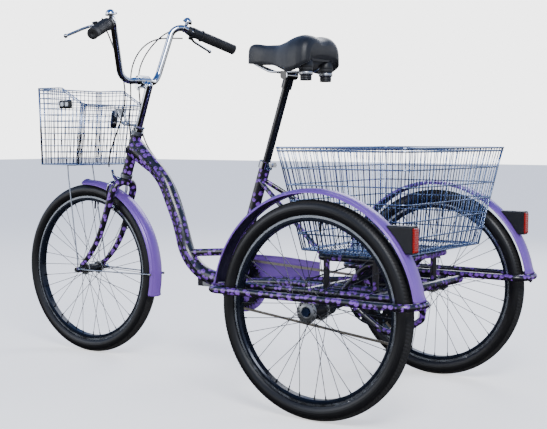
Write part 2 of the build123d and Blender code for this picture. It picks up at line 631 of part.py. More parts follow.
def axle_bearings():
    blocks = []
    for y, top in ((HOOP_IN_Y - 17, HOOP_Z - HOOP_R), (INNER_RAIL_Y, CARRIER_Z - RAIL_R)):
        for side in SIDES:
            ring = rod((0, side * y - 9, TYRE_R), (0, side * y + 9, TYRE_R), 20)
            neck = block(-20, 20, side * y - 8, side * y + 8, TYRE_R, top + 3)
            if y != INNER_RAIL_Y:
                neck = fuse([block(-20, 20, side * y - 8, side * y + 8, TYRE_R, top + 3),
                             block(-20, 20, side * (y - 8), side * (y + 17), top - 3, top + 3)])
            bore = rod((0, side * y - 20, TYRE_R), (0, side * y + 20, TYRE_R), AXLE_R + RUN)
            bar = rod((-60, side * HOOP_IN_Y, HOOP_Z), (60, side * HOOP_IN_Y, HOOP_Z), HOOP_R)
            rail = rod((-60, side * INNER_RAIL_Y, CARRIER_Z), (60, side * INNER_RAIL_Y, CARRIER_Z), RAIL_R)
            blocks.append(cut(fuse([ring, neck]), [bore, bar, rail]))
    return blocks


# ---- wheels, built about the origin with the axle along Y -----------------------------------------
def tyre():
    section_r = TYRE_W / 2
    centre = TYRE_R - section_r
    seat = RIM_R + 0.3
    bead_y = RIM_W / 2 - 2.6
    ring = Pos(centre, 0) * (Circle(section_r) - Circle(section_r - TYRE_WALL))
    ring -= Pos(seat - 50, 0) * Rectangle(100, 2 * TYRE_W)
    for side in SIDES:
        ring += Pos(seat - 1, side * (bead_y - 1.8)) * Rectangle(14, 3.6)
    plane = Plane((0, 0, 0), x_dir=(1, 0, 0), z_dir=(0, 0, 1))
    return revolve(plane * ring, Axis.Y, 360).solid()


def rim():
    inner = RIM_R - RIM_DEPTH
    half = RIM_W / 2
    points = [(inner, -half + 4), (inner + 4, -half), (RIM_R, -half), (RIM_R, -half + 2),
              (inner + 10, -half + 2),
              (inner + 4, -half + 7), (inner + 4, half - 7), (inner + 10, half - 2), (RIM_R,
                                                                                      half - 2), (RIM_R,
                                                                                                  half),
              (inner + 4, half), (inner, half - 4)]
    ring = revolve(Polygon(*points, align=None), Axis.Y, 360).solid()
    holes = [rod(around((0, 0, 0), a, inner - 4, y), around((0, 0, 0), a, inner + 12, y), 3.2)
             for a, y in nipple_places()]
    valve_hole = rod(around((0, 0, 0), 95, inner - 4), around((0, 0, 0), 95, inner + 12), 4.1)
    valve = rod(around((0, 0, 0), 95, inner - 28), around((0, 0, 0), 95, inner + 4.5), 3.2)
    return [cut(ring, holes + [valve_hole]), valve]


LACE = 60                   # degrees each spoke turns on its way from flange to rim
RIM_Y = 3.0                 # how far nipples sit off the wheel's centre plane


def nipple_places():
    """Angle and side of every nipple round the rim."""
    step = 360 / SPOKES
    places = []
    for side, turn in ((1, 0.0), (-1, step)):
        for k in range(SPOKES // 4):
            places.append((4 * step * k + LACE + turn, side * RIM_Y))
            places.append((4 * step * k + 2 * step - LACE + turn, side * RIM_Y))
    return places


def spoke(flange_r, flange_y, side, lead, turn):
    """One spoke with its elbow, head and nipple."""
    angle = turn if lead > 0 else turn + 2 * 360 / SPOKES
    off = 4.3 if lead > 0 else -2.7
    hole = around((0, 0, 0), angle, flange_r - 5, side * (flange_y + off))
    far = around((0, 0, 0), angle + lead * LACE, RIM_R - RIM_DEPTH + 7, side * RIM_Y)
    through = around((0, 0, 0), angle, flange_r - 5, side * (flange_y - (2.6 if lead > 0 else -2.6)))
    wire = rod(hole, far, SPOKE_R)
    near_end = along(far, hole, 17)
    nipple = rod(near_end, far, 1.9)
    elbow = fuse([rod(hole, through, SPOKE_R), Pos(*hole) * Sphere(SPOKE_R).solid()])
    head_end = along(through, hole, 1.0)
    return fuse([wire, nipple, elbow, rod(through, head_end, 1.9)])


def spokes(flange_r, outer_y, inner_y):
    pieces = []
    for side, y, turn in ((1, outer_y, 0.0), (-1, inner_y, 360 / SPOKES)):
        for lead in (1, -1):
            first = spoke(flange_r, y, side, lead, turn)
            pieces += [first.rotate(Axis.Y, -4 * 360 / SPOKES * k) for k in range(SPOKES // 4)]
    return pieces


def hub(flange_r, outer_y, inner_y, barrel_r, boss, boss_r, bore_r):
    """Hub shell along Y with two drilled flanges and an inboard boss."""
    shell = [rod((0, -inner_y, 0), (0, outer_y, 0), barrel_r),
             rod((0, outer_y - 1.5, 0), (0, outer_y + 1.5, 0), flange_r),
             rod((0, -inner_y - 1.5, 0), (0, -inner_y + 1.5, 0), flange_r),
             rod((0, -inner_y, 0), (0, -boss, 0), boss_r)]
    holes = []
    for y, turn in ((outer_y, 0.0), (-inner_y, 360 / SPOKES)):
        holes += [rod(around((0, 0, 0), turn + 2 * 360 / SPOKES * k, flange_r - 5, y - 3),
                      around((0, 0, 0), turn + 2 * 360 / SPOKES * k, flange_r - 5, y + 3), 1.4)
                  for k in range(SPOKES // 2)]
    return cut(fuse(shell), holes + [rod((0, -boss - 20, 0), (0, outer_y + 20, 0), bore_r)])


def place(pieces, centre):
    return [Pos(*centre) * p for p in pieces]


# ---- steering -----------------------------------------------------------------------------------
def fork():
    pieces = [rod(steer(-24), steer(HEAD_LENGTH + 30), STEERER_R), rod(steer(-36), steer(-12.6), 19)]
    for side in SIDES:
        crown = steer(-22)
        leg = [(crown[0], 0, crown[2]), (1026, side * 52, 606), (1104, side * 60, 387),
               (1183, side * 55, 316)]
        path = FilletPolyline(*leg, radius=[42, 340])
        top = Plane(path @ 0, z_dir=path % 0) * Circle(14)
        end = Plane(path @ 1, z_dir=path % 1) * Circle(8)
        pieces.append(sweep([top, end], path, multisection=True).solid())
        x, _, z = FRONT_HUB
        pieces.append(tapered_arm((1181, 320), (x, z), 8, 11, side * 50.5, side * 56))
    eye = rod((FRONT_HUB[0], -80, FRONT_HUB[2]), (FRONT_HUB[0], 80, FRONT_HUB[2]), FRONT_AXLE_R + 0.1)
    pilot = rod(steer(-33, -40), steer(-33, 40), 4.05)
    return [cut(fuse(pieces), [rod(steer(-40), steer(HEAD_LENGTH + 60), QUILL_R + RUN), eye, pilot])]


def stem():
    clamp = Vector(*BAR_CLAMP)
    top = steer(HEAD_LENGTH + 176)
    quill = rod(steer(HEAD_LENGTH - 40), top, QUILL_R)
    neck = rod(steer(HEAD_LENGTH + 168), BAR_CLAMP, 13.5)
    barrel = rod((clamp.X, -24, clamp.Z), (clamp.X, 24, clamp.Z), 19)
    knob = Pos(*top) * Sphere(QUILL_R).solid()
    split = block(clamp.X, clamp.X + 40, -40, 40, clamp.Z - 12, clamp.Z - 9.5)
    lug = block(clamp.X + 8, clamp.X + 27, -12, 12, clamp.Z - 24, clamp.Z + 2)
    bore = rod((clamp.X, -40, clamp.Z), (clamp.X, 40, clamp.Z), BAR_CLAMP_R + 0.05)
    bolt_hole = rod((clamp.X + 20, 0, clamp.Z - 40), (clamp.X + 20, 0, clamp.Z + 20), 3.1)
    return [cut(fuse([quill, neck, barrel, knob, lug]), [bore, split, bolt_hole])]


def steering_fasteners():
    low = HEAD_LENGTH + 12.6
    plane = Plane(steer(low), z_dir=Vector(*steer(1)) - Vector(*steer(0)))
    nut = extrude(plane * RegularPolygon(20, 6), 9).solid()
    washer = rod(steer(low + 9.2), steer(low + 13), 17)
    bore = rod(steer(HEAD_LENGTH - 20), steer(HEAD_LENGTH + 60), STEERER_R + 0.03)
    x, _, z = BAR_CLAMP
    bolt = fuse([rod((x + 20, 0, z - 31), (x + 20, 0, z - 24.2), 6),
                 rod((x + 20, 0, z - 30), (x + 20, 0, z + 1), 3)])
    pivot = fuse([rod(steer(-33, -22), steer(-33, 44), 4.0), rod(steer(-33, 41.6), steer(-33, 46), 7)])
    return [cut(nut, [bore]), cut(washer, [bore]), bolt, pivot]


def handlebar():
    half = pipe(BAR_POINTS, BAR_BENDS, BAR_R)
    core = pipe(BAR_POINTS, BAR_BENDS, BAR_R - 1.8)
    x, _, z = BAR_CLAMP
    sleeve = rod((x, -30, z), (x, 30, z), BAR_CLAMP_R)
    left = [half, mirrored(half), sleeve, rod((x, -6, z), (x, 6, z), BAR_R)]
    return [cut(fuse(left), [core, mirrored(core)])]


def bar_at(distance):
    """Point on the bar's end run, measured outward from its last bend, or inward along the run before."""
    if distance >= 0:
        return along(BAR_POINTS[-2], BAR_POINTS[-1], distance)
    return along(BAR_POINTS[-2], BAR_POINTS[-3], -distance)


def bar_bore(clearance=0.02):
    """The bar's outside, enlarged, for cutting what clamps on it."""
    return pipe(BAR_POINTS, BAR_BENDS, BAR_R + clearance)


def grip():
    end = (Vector(*BAR_POINTS[-1]) - Vector(*BAR_POINTS[-2])).length
    outside = fuse([rod(bar_at(GRIP_START), bar_at(end + 3), GRIP_R),
                    rod(bar_at(GRIP_START), bar_at(GRIP_START + 3), 20)])
    return cut(outside, [rod(bar_at(GRIP_START - 5), bar_at(end + 0.1), BAR_R + 0.02)])


LEVER_AXIS = Vector(0, 0.333, 0.943)


def pivot_point(up):
    p = Vector(*LEVER_PIVOT) + LEVER_AXIS * up
    return (p.X, p.Y, p.Z)


def lever_mount(clamp_at):
    """Clamp ring round the bar with a clevis that holds the brake lever's pivot."""
    middle = bar_at(clamp_at + 7)
    ring = rod(bar_at(clamp_at), bar_at(clamp_at + 14), 16.5)
    arm = rod(middle, along(pivot_point(0), middle, 4), 8)
    ears = rod(pivot_point(-10), pivot_point(10), 9)
    barrel = rod(along(pivot_point(0), bar_at(-60), 6), along(pivot_point(0), bar_at(-60), 34), 4.5)
    room = rod(pivot_point(-5.2), pivot_point(5.2), 16)
    pin = rod(pivot_point(-10), pivot_point(10), 2.9)
    return fuse([cut(fuse([ring, arm, ears, barrel]), [bar_bore(), room]), pin])


def brake_lever():
    boss = rod(pivot_point(-4.6), pivot_point(4.6), 7.5)
    blade = pipe([LEVER_PIVOT, (941, 278, 1121), LEVER_TIP], [60], 4.6)
    ball = Pos(*LEVER_TIP) * Sphere(7).solid()
    return cut(fuse([boss, blade, ball]), [rod(pivot_point(-20), pivot_point(20), 2.9 + RUN)])


def shift_parts():
    """Fixed shifter housing and the sleeve that twists, both on the rider's right."""
    housing = cut(rod(bar_at(3), bar_at(20), 18), [bar_bore()])
    sleeve = cut(rod(bar_at(20.6), bar_at(GRIP_START - 0.6), 17.5),
                 [rod(bar_at(15), bar_at(GRIP_START + 9), BAR_R + RUN)])
    return mirrored(housing), mirrored(sleeve)


def bell(at):
    """Dome on a short post from a ring round the bar."""
    low = Vector(*bar_at(at))
    axis = Vector(*bar_at(at + 1)) - low
    ring = cut(rod(bar_at(at - 4), bar_at(at + 4), 14.5), [bar_bore()])
    up = (Vector(0, 0, 1) - axis * axis.Z).normalized()
    foot, top = low + up * 13, low + up * 22
    post = rod(tuple(foot), tuple(top), 6)
    base = rod(tuple(top), tuple(top + up * 3), 17)
    dome = Plane(top + up * 3, z_dir=up) * (Sphere(16) & Pos(0, 0, 20) * Box(60, 60, 40))
    return fuse([ring, post, base, dome.solid()]), top, up


LEFT_BELL_AT, RIGHT_BELL_AT = 4.0, -27.0


def bell_lever():
    _, top, up = bell(LEFT_BELL_AT)
    side = up.cross(Vector(1, 0, 0)).normalized()
    pivot = top + side * -20 + up * 1.5
    tip = pivot + side * -14 + up * -2 + Vector(6, 0, 0)
    return [fuse([rod(tuple(pivot - up * 2), tuple(pivot + up * 2), 2.6), rod(tuple(pivot), tuple(tip), 2.2),
                  Pos(*tuple(tip)) * Sphere(4).solid()])], pivot, up


def front_basket():
    shell = tub((1049, 1296, 155.5, FRONT_BASKET_TOP_Z), (1092, 1293, 146, FRONT_BASKET_BOTTOM_Z), 14,
                BASKET_WALL)
    slope = Polyline((1000, 0, FRONT_BASKET_LOW_Z), (1049, 0, FRONT_BASKET_LOW_Z),
                     (1164, 0, FRONT_BASKET_TOP_Z),
                     (1164, 0, 1000), (1000, 0, 1000), close=True)
    wedge = extrude(Face(Wire(slope.edges())), 300, dir=(0, 1, 0), both=True).solid()
    return [cut(shell, [wedge])]


def front_stays():
    """Basket bracket, basket legs and the front mudguard's wire stay."""
    ring = cut(rod(steer(HEAD_LENGTH + 26), steer(HEAD_LENGTH + 29), 21),
               [rod(steer(100), steer(240), STEERER_R + 0.03)])
    root = steer(HEAD_LENGTH + 27.5, 19)
    bracket = [ring]
    for side in SIDES:
        bracket.append(pipe([(root[0], side * 10, root[2]), (1020, side * 12, 816), (1044, side * 14, 866)],
                            [20], 4))
    plate = block(1040, 1046, -24, 24, 842, 872)
    pieces = [fuse(bracket + [plate])]
    for side in SIDES:
        leg = [(1240, side * 62, FRONT_BASKET_BOTTOM_Z - 2.4), (1236, side * 64, 640),
               (FRONT_HUB[0], side * 70.25, 330),
               (FRONT_HUB[0], side * 70.25, FRONT_HUB[2] + 5)]
        foot = rod((FRONT_HUB[0], side * 68, FRONT_HUB[2]), (FRONT_HUB[0], side * 72.5, FRONT_HUB[2]), 9)
        wire = pipe(leg, [30, 60], 2.2)
        hook = rod((1240, side * 62, FRONT_BASKET_BOTTOM_Z - 2.4),
                   (1200, side * 62, FRONT_BASKET_BOTTOM_Z - 2.4), 2.2)
        hole = rod((FRONT_HUB[0], side * 60, FRONT_HUB[2]), (FRONT_HUB[0], side * 90, FRONT_HUB[2]),
                   FRONT_AXLE_R + 0.1)
        pieces.append(cut(fuse([wire, hook, foot]), [hole]))
        far = around(FRONT_HUB, 180, FRONT_FENDER_R - 16, side * 35)
        stay_foot = rod((FRONT_HUB[0], side * 62, FRONT_HUB[2]), (FRONT_HUB[0], side * 66.5, FRONT_HUB[2]), 9)
        stay = fuse([stay_foot, pipe([(FRONT_HUB[0] - 7, side * 64, FRONT_HUB[2]),
                                      (FRONT_HUB[0] - 40, side * 64,
                     FRONT_HUB[2]), far], [60], 2.2), rod(far, (far[0] - 8, far[1], far[2]), 4)])
        pieces.append(cut(stay, [hole]))
    return pieces


def front_fender():
    return [arched(FRONT_HUB, FRONT_FENDER_R, 87, 194, 14)]


def front_axle():
    x, _, z = FRONT_HUB
    pieces = [rod((x, -80, z), (x, 80, z), FRONT_AXLE_R)]
    for side in SIDES:
        nut = extrude(Plane((x, side * 72.8, z), x_dir=(1, 0, 0), z_dir=(0, side, 0)) * RegularPolygon(9,
                                                                                                       6), 7)
        washer = rod((x, side * 56.3, z), (x, side * 61.6, z), 9)
        pieces += [nut.solid(), washer, rod((x, side * 43, z), (x, side * 50.2, z), 7)]
    return [fuse(pieces)]


def caliper_arm(side):
    """One arm of the side-pull front brake, with its pad, swinging about the crown bolt."""
    near = 20 if side > 0 else 31
    ring = rod(steer(-33, near), steer(-33, near + 10), 10)
    start = steer(-33, near + 5)
    shoulder = steer(-40, near + 5, side * 50)
    elbow = steer(-70, 26, side * 49)
    foot = steer(-128, 14, side * 34)
    arm = pipe([start, shoulder, elbow, foot], [14, 20], 4.8)
    pad_at = steer(-128, 14)
    pad = block(pad_at[0] - 19, pad_at[0] + 19, side * (RIM_W / 2 + 3), side * (RIM_W / 2 + 14),
                pad_at[2] - 5, pad_at[2] + 3.5)
    pad = pad.rotate(Axis(pad_at, (0, 1, 0)), -25)
    post = rod(steer(-128, 14, side * (RIM_W / 2 + 12)), steer(-128, 14, side * 42), 5)
    pull = pipe([start, steer(-25, near + 5, 20), steer(-12 if side > 0 else 2, near + 5, 38)], [12], 4.5)
    hole = rod(steer(-33, -10), steer(-33, 60), 4.0 + RUN)
    return [cut(fuse([ring, arm, pad, post, pull]), [hole])]


# ---- saddle -------------------------------------------------------------------------------------
def seat_post():
    low = seat_axis(SEAT_TUBE_TOP_Z - SEAT_POST_IN)
    return [rod(low, seat_axis(SEAT_POST_TOP_Z), SEAT_POST_R)]


def saddle_outline(x):
    """Half width of the saddle at x."""
    for (xa, wa), (xb, wb) in zip(SADDLE_ROWS, SADDLE_ROWS[1:]):
        if xb <= x <= xa:
            return wa + (wb - wa) * (xa - x) / (xa - xb)
    return SADDLE_ROWS[-1][1] if x < SADDLE_ROWS[-1][0] else SADDLE_ROWS[0][1]


def saddle_plan(inset, x_front, x_rear, z, height):
    """Upright prism whose plan is the saddle's outline, set in all round."""
    xs = [x_front] + [x for x, _ in SADDLE_ROWS if x_rear < x < x_front] + [x_rear]
    left = [(x, saddle_outline(x) - inset) for x in xs]
    plan = Polygon(*left, *[(x, -w) for x, w in reversed(left)], align=None)
    return extrude(Pos(0, 0, z) * plan, height).solid()


def rail_path(side):
    """Points and bend radii of one saddle rail."""
    grip_z = SEAT_POST_TOP_Z + 14
    points = [(462, side * 9, 1007), (430, side * 12, 992), (390, side * 20, grip_z + 12),
              (262, side * 28, grip_z + 8), (226, side * 48, 1000)]
    return points, [30, 80, 60]


def saddle_rails():
    top = seat_axis(SEAT_POST_TOP_Z)
    grip_z = SEAT_POST_TOP_Z + 14
    collar = cut(rod(seat_axis(SEAT_POST_TOP_Z - 26), seat_axis(SEAT_POST_TOP_Z + 4), SEAT_POST_R + 4.3),
                 [rod(seat_axis(SEAT_POST_TOP_Z - 60), top, SEAT_POST_R + 0.02)])
    head = rod((top[0] - 4, -32, grip_z), (top[0] - 4, 32, grip_z), 13)
    return [fuse([collar, head] + [pipe(*rail_path(side), RAIL_WIRE_R) for side in SIDES])]


def saddle_base():
    pieces = [saddle_plan(SADDLE_WALL + 0.6, 466, 215, SADDLE_DECK_Z - 7, 6)]
    for side in SIDES:
        x, y = SPRING_AT
        levels = [(944, 961, 17, 17), (960, 970, 20.5, 20.5), (969.9, 988, 20.5, 23),
                  (987, SADDLE_DECK_Z - 5, 19, 19)]
        pieces += [cone((x, side * y, low), (x, side * y, high), ra, rb) if ra != rb
                   else rod((x, side * y, low), (x, side * y, high), ra) for low, high, ra, rb in levels]
    room = [pipe(*rail_path(side), RAIL_WIRE_R + 0.1) for side in SIDES]
    return [cut(fuse(pieces), room)]


def saddle_pad():
    rows = [(480, 1006, 1060), (455, 1003, 1067), (400, 1001, 1061), (345, 991, 1060), (300, 976, 1070),
            (265, 968, 1079), (228, 990, 1077), (202, 998, 1060)]
    sections = []
    for x, low, high in rows:
        w = saddle_outline(x)
        plane = Plane((x, 0, (low + high) / 2), x_dir=(0, 1, 0), z_dir=(1, 0, 0))
        section = Rectangle(2 * w, high - low)
        section = fillet(section.vertices().group_by(Axis.Y)[-1], 0.8 * min(w, (high - low) / 2))
        sections.append(plane * section)
    body = loft(sections, ruled=True).solid()
    return [cut(body, [saddle_plan(SADDLE_WALL, 470, 212, 900, SADDLE_DECK_Z - 900)])]


# ---- cables -------------------------------------------------------------------------------------
def smooth(points):
    """Bend radii as large as the runs beside each point allow."""
    p = [Vector(*q) for q in points]
    radii = []
    for a, b, c in zip(p, p[1:], p[2:]):
        turn = radians((b - a).get_angle(c - b))
        radii.append(0.45 * min((b - a).length, (c - b).length) / tan(turn / 2))
    return radii


def cable(points):
    path = FilletPolyline(*points, radius=smooth(points))
    return sweep(Plane(path @ 0, z_dir=path % 0) * Circle(CABLE_R), path).solid()


FRONT_BRAKE_CABLE = [(931, 205, 1158), (962, 170, 1152), (974, 128, 1112), (976, 92, 1052), (975, 62, 990),
                     (980, 40, 925), (996, 32, 866), (1018, 34, 806), (1044, 40, 748), (1060, 42, 696),
                     (1061, 40, 668)]
REAR_BRAKE_CABLE = [(931, -205, 1158), (966, -168, 1150), (980, -118, 1112), (984, -66, 1062),
                    (982, -26, 1004),
                    (976, -22, 944), (972, -24, 890), (973, -29, 840), (972, -31, 794)]
SHIFT_CABLE = [(921, -196, 1124), (952, -172, 1124), (984, -130, 1122), (997, -80, 1098), (996, -30, 1056),
               (990, 4, 1000), (982, 14, 944), (976, 18, 894), (977, 26, 848), (974, 31, 794)]
FRAME_BRAKE_CABLE = [(972, -31, 790), (950, -34, 738), (900, -33, 690), (846, -31, 642),
                     (806, -30, 580), (776, -29, 505), (754, -29, 438), (738, -30, 384), (700, -31, 330),
                     (640, -31, 290), (560, -27, 262), (470, -18, 268), (380, -2, 290), (290, 22, 312),
                     (210, 36, 344), (140, 46, 366), (80, 56, 386), (20, 70, 406), (-34, 77, 410)]
FRAME_SHIFT_CABLE = [(974, 31, 790), (950, 33, 740), (900, 32, 692), (848, 30, 646),
                     (810, 29, 588), (782, 28, 520), (760, 28, 450), (742, 29, 392), (704, 30, 338),
                     (644, 29, 298), (560, 25, 262), (470, 10, 262), (390, -14, 262), (300, -40, 258),
                     (210, -66, 252), (120, -84, 240), (50, -94, 228), (0, -97, 222), (-34, -96, 230),
                     (-50, -88, 250)]


# ---- build --------------------------------------------------------------------------------------
def main():
    os.makedirs("parts", exist_ok=True)
    left, right = (0, HALF_TRACK, TYRE_R), (0, -HALF_TRACK, TYRE_R)
    save("main_frame", main_frame())
    save("rear_carrier", [fuse(rear_carrier() + basket_rack())])
    save("wheel_hoop_left", [wheel_hoop(True)])
    save("wheel_hoop_right", [mirrored(wheel_hoop(False))])
    save("bearing_cups", bearing_cups())
    fender = rear_fender()
    save("rear_fender_left", [fender])
    save("rear_fender_right", [mirrored(fender)])
    save("clamp_and_bolts", seat_clamp() + frame_bolts())
    save("tail_light_housings", both(tail_light_housing()))
    save("tail_light_lenses", both(tail_light_lens()))
    save("rear_basket", rear_basket())
    save("chain_guard", chain_guard())
    save("chain", chain())
    save("chainring", chainring())
    save("crank_arms", crank_arms())
    save("pedal_left", pedal(1))
    save("pedal_right", pedal(-1))
    save("freewheel", freewheel())
    save("tension_pulley", pulley(1, TENSION))
    save("guide_pulley", pulley(2, GUIDE))
    save("derailleur", derailleur())
    save("drive_axle", drive_axle())
    save("disc_rotor", disc_rotor())
    save("disc_caliper", disc_caliper())
    save("disc_brake_arm", disc_brake_arm())
    save("axle_bearings", axle_bearings())

    wheel_tyre, wheel_rim = [tyre()], rim()
    rear_spokes = spokes(HUB_FLANGE_R, 35, 30)
    rear_hub = hub(HUB_FLANGE_R, 35, 30, 24, 66, 23, AXLE_R + RUN)
    for name, centre, flip in (("left", left, False), ("right", right, True)):
        turn = (lambda p: mirrored(p)) if flip else (lambda p: p)
        save(f"{name}_tyre", place(wheel_tyre, centre))
        save(f"{name}_rim", place([turn(r) for r in wheel_rim], centre))
        save(f"{name}_spokes", place([turn(s) for s in rear_spokes], centre))
        save(f"{name}_hub", place([turn(rear_hub)], centre))
    save("front_tyre", place(wheel_tyre, FRONT_HUB))
    save("front_rim", place(wheel_rim, FRONT_HUB))
    save("front_spokes", place(spokes(FRONT_FLANGE_R, 33, 33), FRONT_HUB))
    save("front_hub", place([hub(FRONT_FLANGE_R, 33, 33, 15, 42, 10, FRONT_AXLE_R + RUN),], FRONT_HUB))

    save("fork", fork())
    save("stem", stem())
    save("steering_fasteners", steering_fasteners() + front_axle())
    save("handlebar", handlebar())
    save("grips", both(grip()))
    housing, sleeve = shift_parts()
    save("lever_mounts", [lever_mount(24), mirrored(lever_mount(-13)), housing])
    save("brake_lever_left", [brake_lever()])
    save("brake_lever_right", [mirrored(brake_lever())])
    save("shift_sleeve", [sleeve])
    save("bells", [bell(LEFT_BELL_AT)[0], mirrored(bell(RIGHT_BELL_AT)[0])])
    save("bell_lever", bell_lever()[0])
    save("front_basket", front_basket())
    save("front_stays", front_stays())
    save("front_fender", front_fender())
    save("caliper_arm_left", caliper_arm(1))
    save("caliper_arm_right", caliper_arm(-1))
    save("seat_post", seat_post())
    save("saddle_rails", saddle_rails())
    save("saddle_base", saddle_base())
    save("saddle_pad", saddle_pad())
    save("bar_cables", [cable(FRONT_BRAKE_CABLE), cable(REAR_BRAKE_CABLE), cable(SHIFT_CABLE)])
    save("frame_cables", [cable(FRAME_BRAKE_CABLE), cable(FRAME_SHIFT_CABLE)])


main()
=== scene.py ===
# %% [markdown]
# # An adult tricycle, dressed for the studio
# The metal skeleton of this tricycle comes ready from the CAD side: every tube, bearing and joint is
# already in its place, and the script leaves it there. What is left for Blender is what the eye judges:
# paint, chrome, rubber, wire and padding. The frame is loaded first.

# %% Load the fixed frame
import json
import math

import bmesh
import bpy
import numpy as np
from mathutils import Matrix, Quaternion, Vector


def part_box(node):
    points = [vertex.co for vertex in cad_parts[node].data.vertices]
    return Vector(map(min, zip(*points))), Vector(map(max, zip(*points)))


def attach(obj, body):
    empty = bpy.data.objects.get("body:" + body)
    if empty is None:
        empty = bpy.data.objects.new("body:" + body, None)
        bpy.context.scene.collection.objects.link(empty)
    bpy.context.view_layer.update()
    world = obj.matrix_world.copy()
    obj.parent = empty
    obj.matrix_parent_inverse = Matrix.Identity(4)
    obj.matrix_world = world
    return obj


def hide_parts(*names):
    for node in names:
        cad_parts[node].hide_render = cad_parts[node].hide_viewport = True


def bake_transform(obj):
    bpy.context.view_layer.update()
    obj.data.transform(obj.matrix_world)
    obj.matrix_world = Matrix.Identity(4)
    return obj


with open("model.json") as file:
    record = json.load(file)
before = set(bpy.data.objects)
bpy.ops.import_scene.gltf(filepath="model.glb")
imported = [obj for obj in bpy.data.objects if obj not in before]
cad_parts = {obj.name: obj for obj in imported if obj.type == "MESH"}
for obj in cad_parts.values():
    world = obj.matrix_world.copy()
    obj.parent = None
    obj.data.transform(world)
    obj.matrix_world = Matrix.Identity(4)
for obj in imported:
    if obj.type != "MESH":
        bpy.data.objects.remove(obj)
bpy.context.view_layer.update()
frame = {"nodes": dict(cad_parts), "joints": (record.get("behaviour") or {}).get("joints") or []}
nodes = frame["nodes"]
pivot = {j["name"]: np.array(j["pos_m"]) for j in frame["joints"] if "pos_m" in j}
FRONT_HUB = pivot["front_wheel_spin"]
LEFT_HUB = pivot["left_wheel_spin"]
RIGHT_HUB = np.array(LEFT_HUB) * (1, -1, 1)

# %% [markdown]
# ## Camera, light and floor
# The camera stands behind the rider's left shoulder, low, with a mild telephoto lens, so that the near
# wheel is only a little larger than the far one. Chrome has no colour of its own and shows what is
# around it, so the surroundings have bands: dark earth below, a white horizon, and a sky that turns blue
# overhead. Plated bars and wires then show dark, white and blue stripes along their length. The camera
# itself sees plain white, as in a catalogue picture, and the floor is left out of mirror reflections.

# %% Camera
REAR_AXLE = Vector((float(LEFT_HUB[0]), 0.0, 0.0))
CAMERA_AT = REAR_AXLE + Vector((-1.5839, 2.8478, 0.7637))
LOOK_AT = REAR_AXLE + Vector((0.3900, 0.0, 0.5270))
LENS_MM = 71.9
ROLL = math.radians(0.13)

camera = bpy.data.objects.new("camera", bpy.data.cameras.new("camera"))
bpy.context.scene.collection.objects.link(camera)
camera.data.lens, camera.data.sensor_width = LENS_MM, 36.0
camera.location = CAMERA_AT
camera.rotation_mode = "QUATERNION"
facing = (LOOK_AT - CAMERA_AT).to_track_quat("-Z", "Y")
camera.rotation_quaternion = facing @ Quaternion((0, 0, 1), ROLL)
bpy.context.scene.camera = camera
print("camera is", round((LOOK_AT - CAMERA_AT).length, 3), "m from what it looks at")

# %% [markdown]
# Colours are written as a web page has them, in hex, and one function turns them into the linear
# numbers that light is added up in. One small function adds a shader node with its settings and links,
# and another starts a material from the values of a real one.

# %% Colour and node helpers
def linear(hex_colour):
    """Linear RGBA of an sRGB colour such as #7A66B4."""
    parts = [int(hex_colour[i:i + 2], 16) / 255 for i in (1, 3, 5)]
    return tuple(c / 12.92 if c <= 0.04045 else ((c + 0.055) / 1.055) ** 2.4 for c in parts) + (1.0,)


def add(tree, kind, inputs=None, **settings):
    """Adds one node. inputs maps a socket's name or number to a value or to the socket that feeds it."""
    node = tree.nodes.new(kind)
    for key, value in settings.items():
        setattr(node, key, value)
    for key, value in (inputs or {}).items():
        if isinstance(value, bpy.types.NodeSocket):
            tree.links.new(value, node.inputs[key])
        else:
            node.inputs[key].default_value = value
    return node


def finish_of(name, colour, roughness, metallic=0.0, **sockets):
    """A material with one shader. Returns the material, its tree, its shader and its Object coordinates."""
    material = bpy.data.materials.new(name)
    material.use_nodes = True
    tree = material.node_tree
    shader = tree.nodes["Principled BSDF"]
    shader.inputs["Base Color"].default_value = linear(colour)
    shader.inputs["Roughness"].default_value = roughness
    shader.inputs["Metallic"].default_value = metallic
    for key, value in sockets.items():
        shader.inputs[key.replace("_", " ")].default_value = value
    place = add(tree, "ShaderNodeTexCoord").outputs["Object"]
    return material, tree, shader, place


def bumped(tree, shader, height, distance, strength=1.0):
    """Feeds a height into the shader's normal. distance is the relief in metres."""
    bump = add(tree, "ShaderNodeBump", {"Height": height, "Distance": distance, "Strength": strength})
    tree.links.new(bump.outputs["Normal"], shader.inputs["Normal"])


def varied(tree, place, scale, low, high, detail=4.0):
    """A slow noise turned into a number between low and high, for uneven roughness."""
    noise = add(tree, "ShaderNodeTexNoise", {"Vector": place, "Scale": scale, "Detail": detail})
    span = add(tree, "ShaderNodeMapRange", {"Value": noise.outputs["Fac"], "From Min": 0.3, "From Max": 0.7,
                                            "To Min": low, "To Max": high})
    return span.outputs["Result"]


# %% Studio
world = bpy.data.worlds.new("studio")
bpy.context.scene.world = world
world.use_nodes = True
sky = world.node_tree
direction = add(sky, "ShaderNodeTexCoord").outputs["Generated"]
height = add(sky, "ShaderNodeSeparateXYZ", {"Vector": direction}).outputs["Z"]
lifted = add(sky, "ShaderNodeMapRange", {"Value": height, "From Min": -1.0, "From Max": 1.0})
ramp = add(sky, "ShaderNodeValToRGB", {"Fac": lifted.outputs[0]})
bands = ramp.color_ramp.elements
bands[0].position, bands[0].color = 0.44, linear("#1B1815")
bands[1].position, bands[1].color = 0.50, linear("#FFFFFF")
for position, colour in ((0.56, "#F2F5FF"), (0.70, "#7FA6E6"), (1.0, "#2F5FA8")):
    bands.new(position).color = linear(colour)
seen = add(sky, "ShaderNodeLightPath").outputs["Is Camera Ray"]
shown = add(sky, "ShaderNodeMix", {"Factor": seen, 6: ramp.outputs["Color"], 7: linear("#FFFFFF")},
            data_type="RGBA")
backdrop = sky.nodes["Background"]
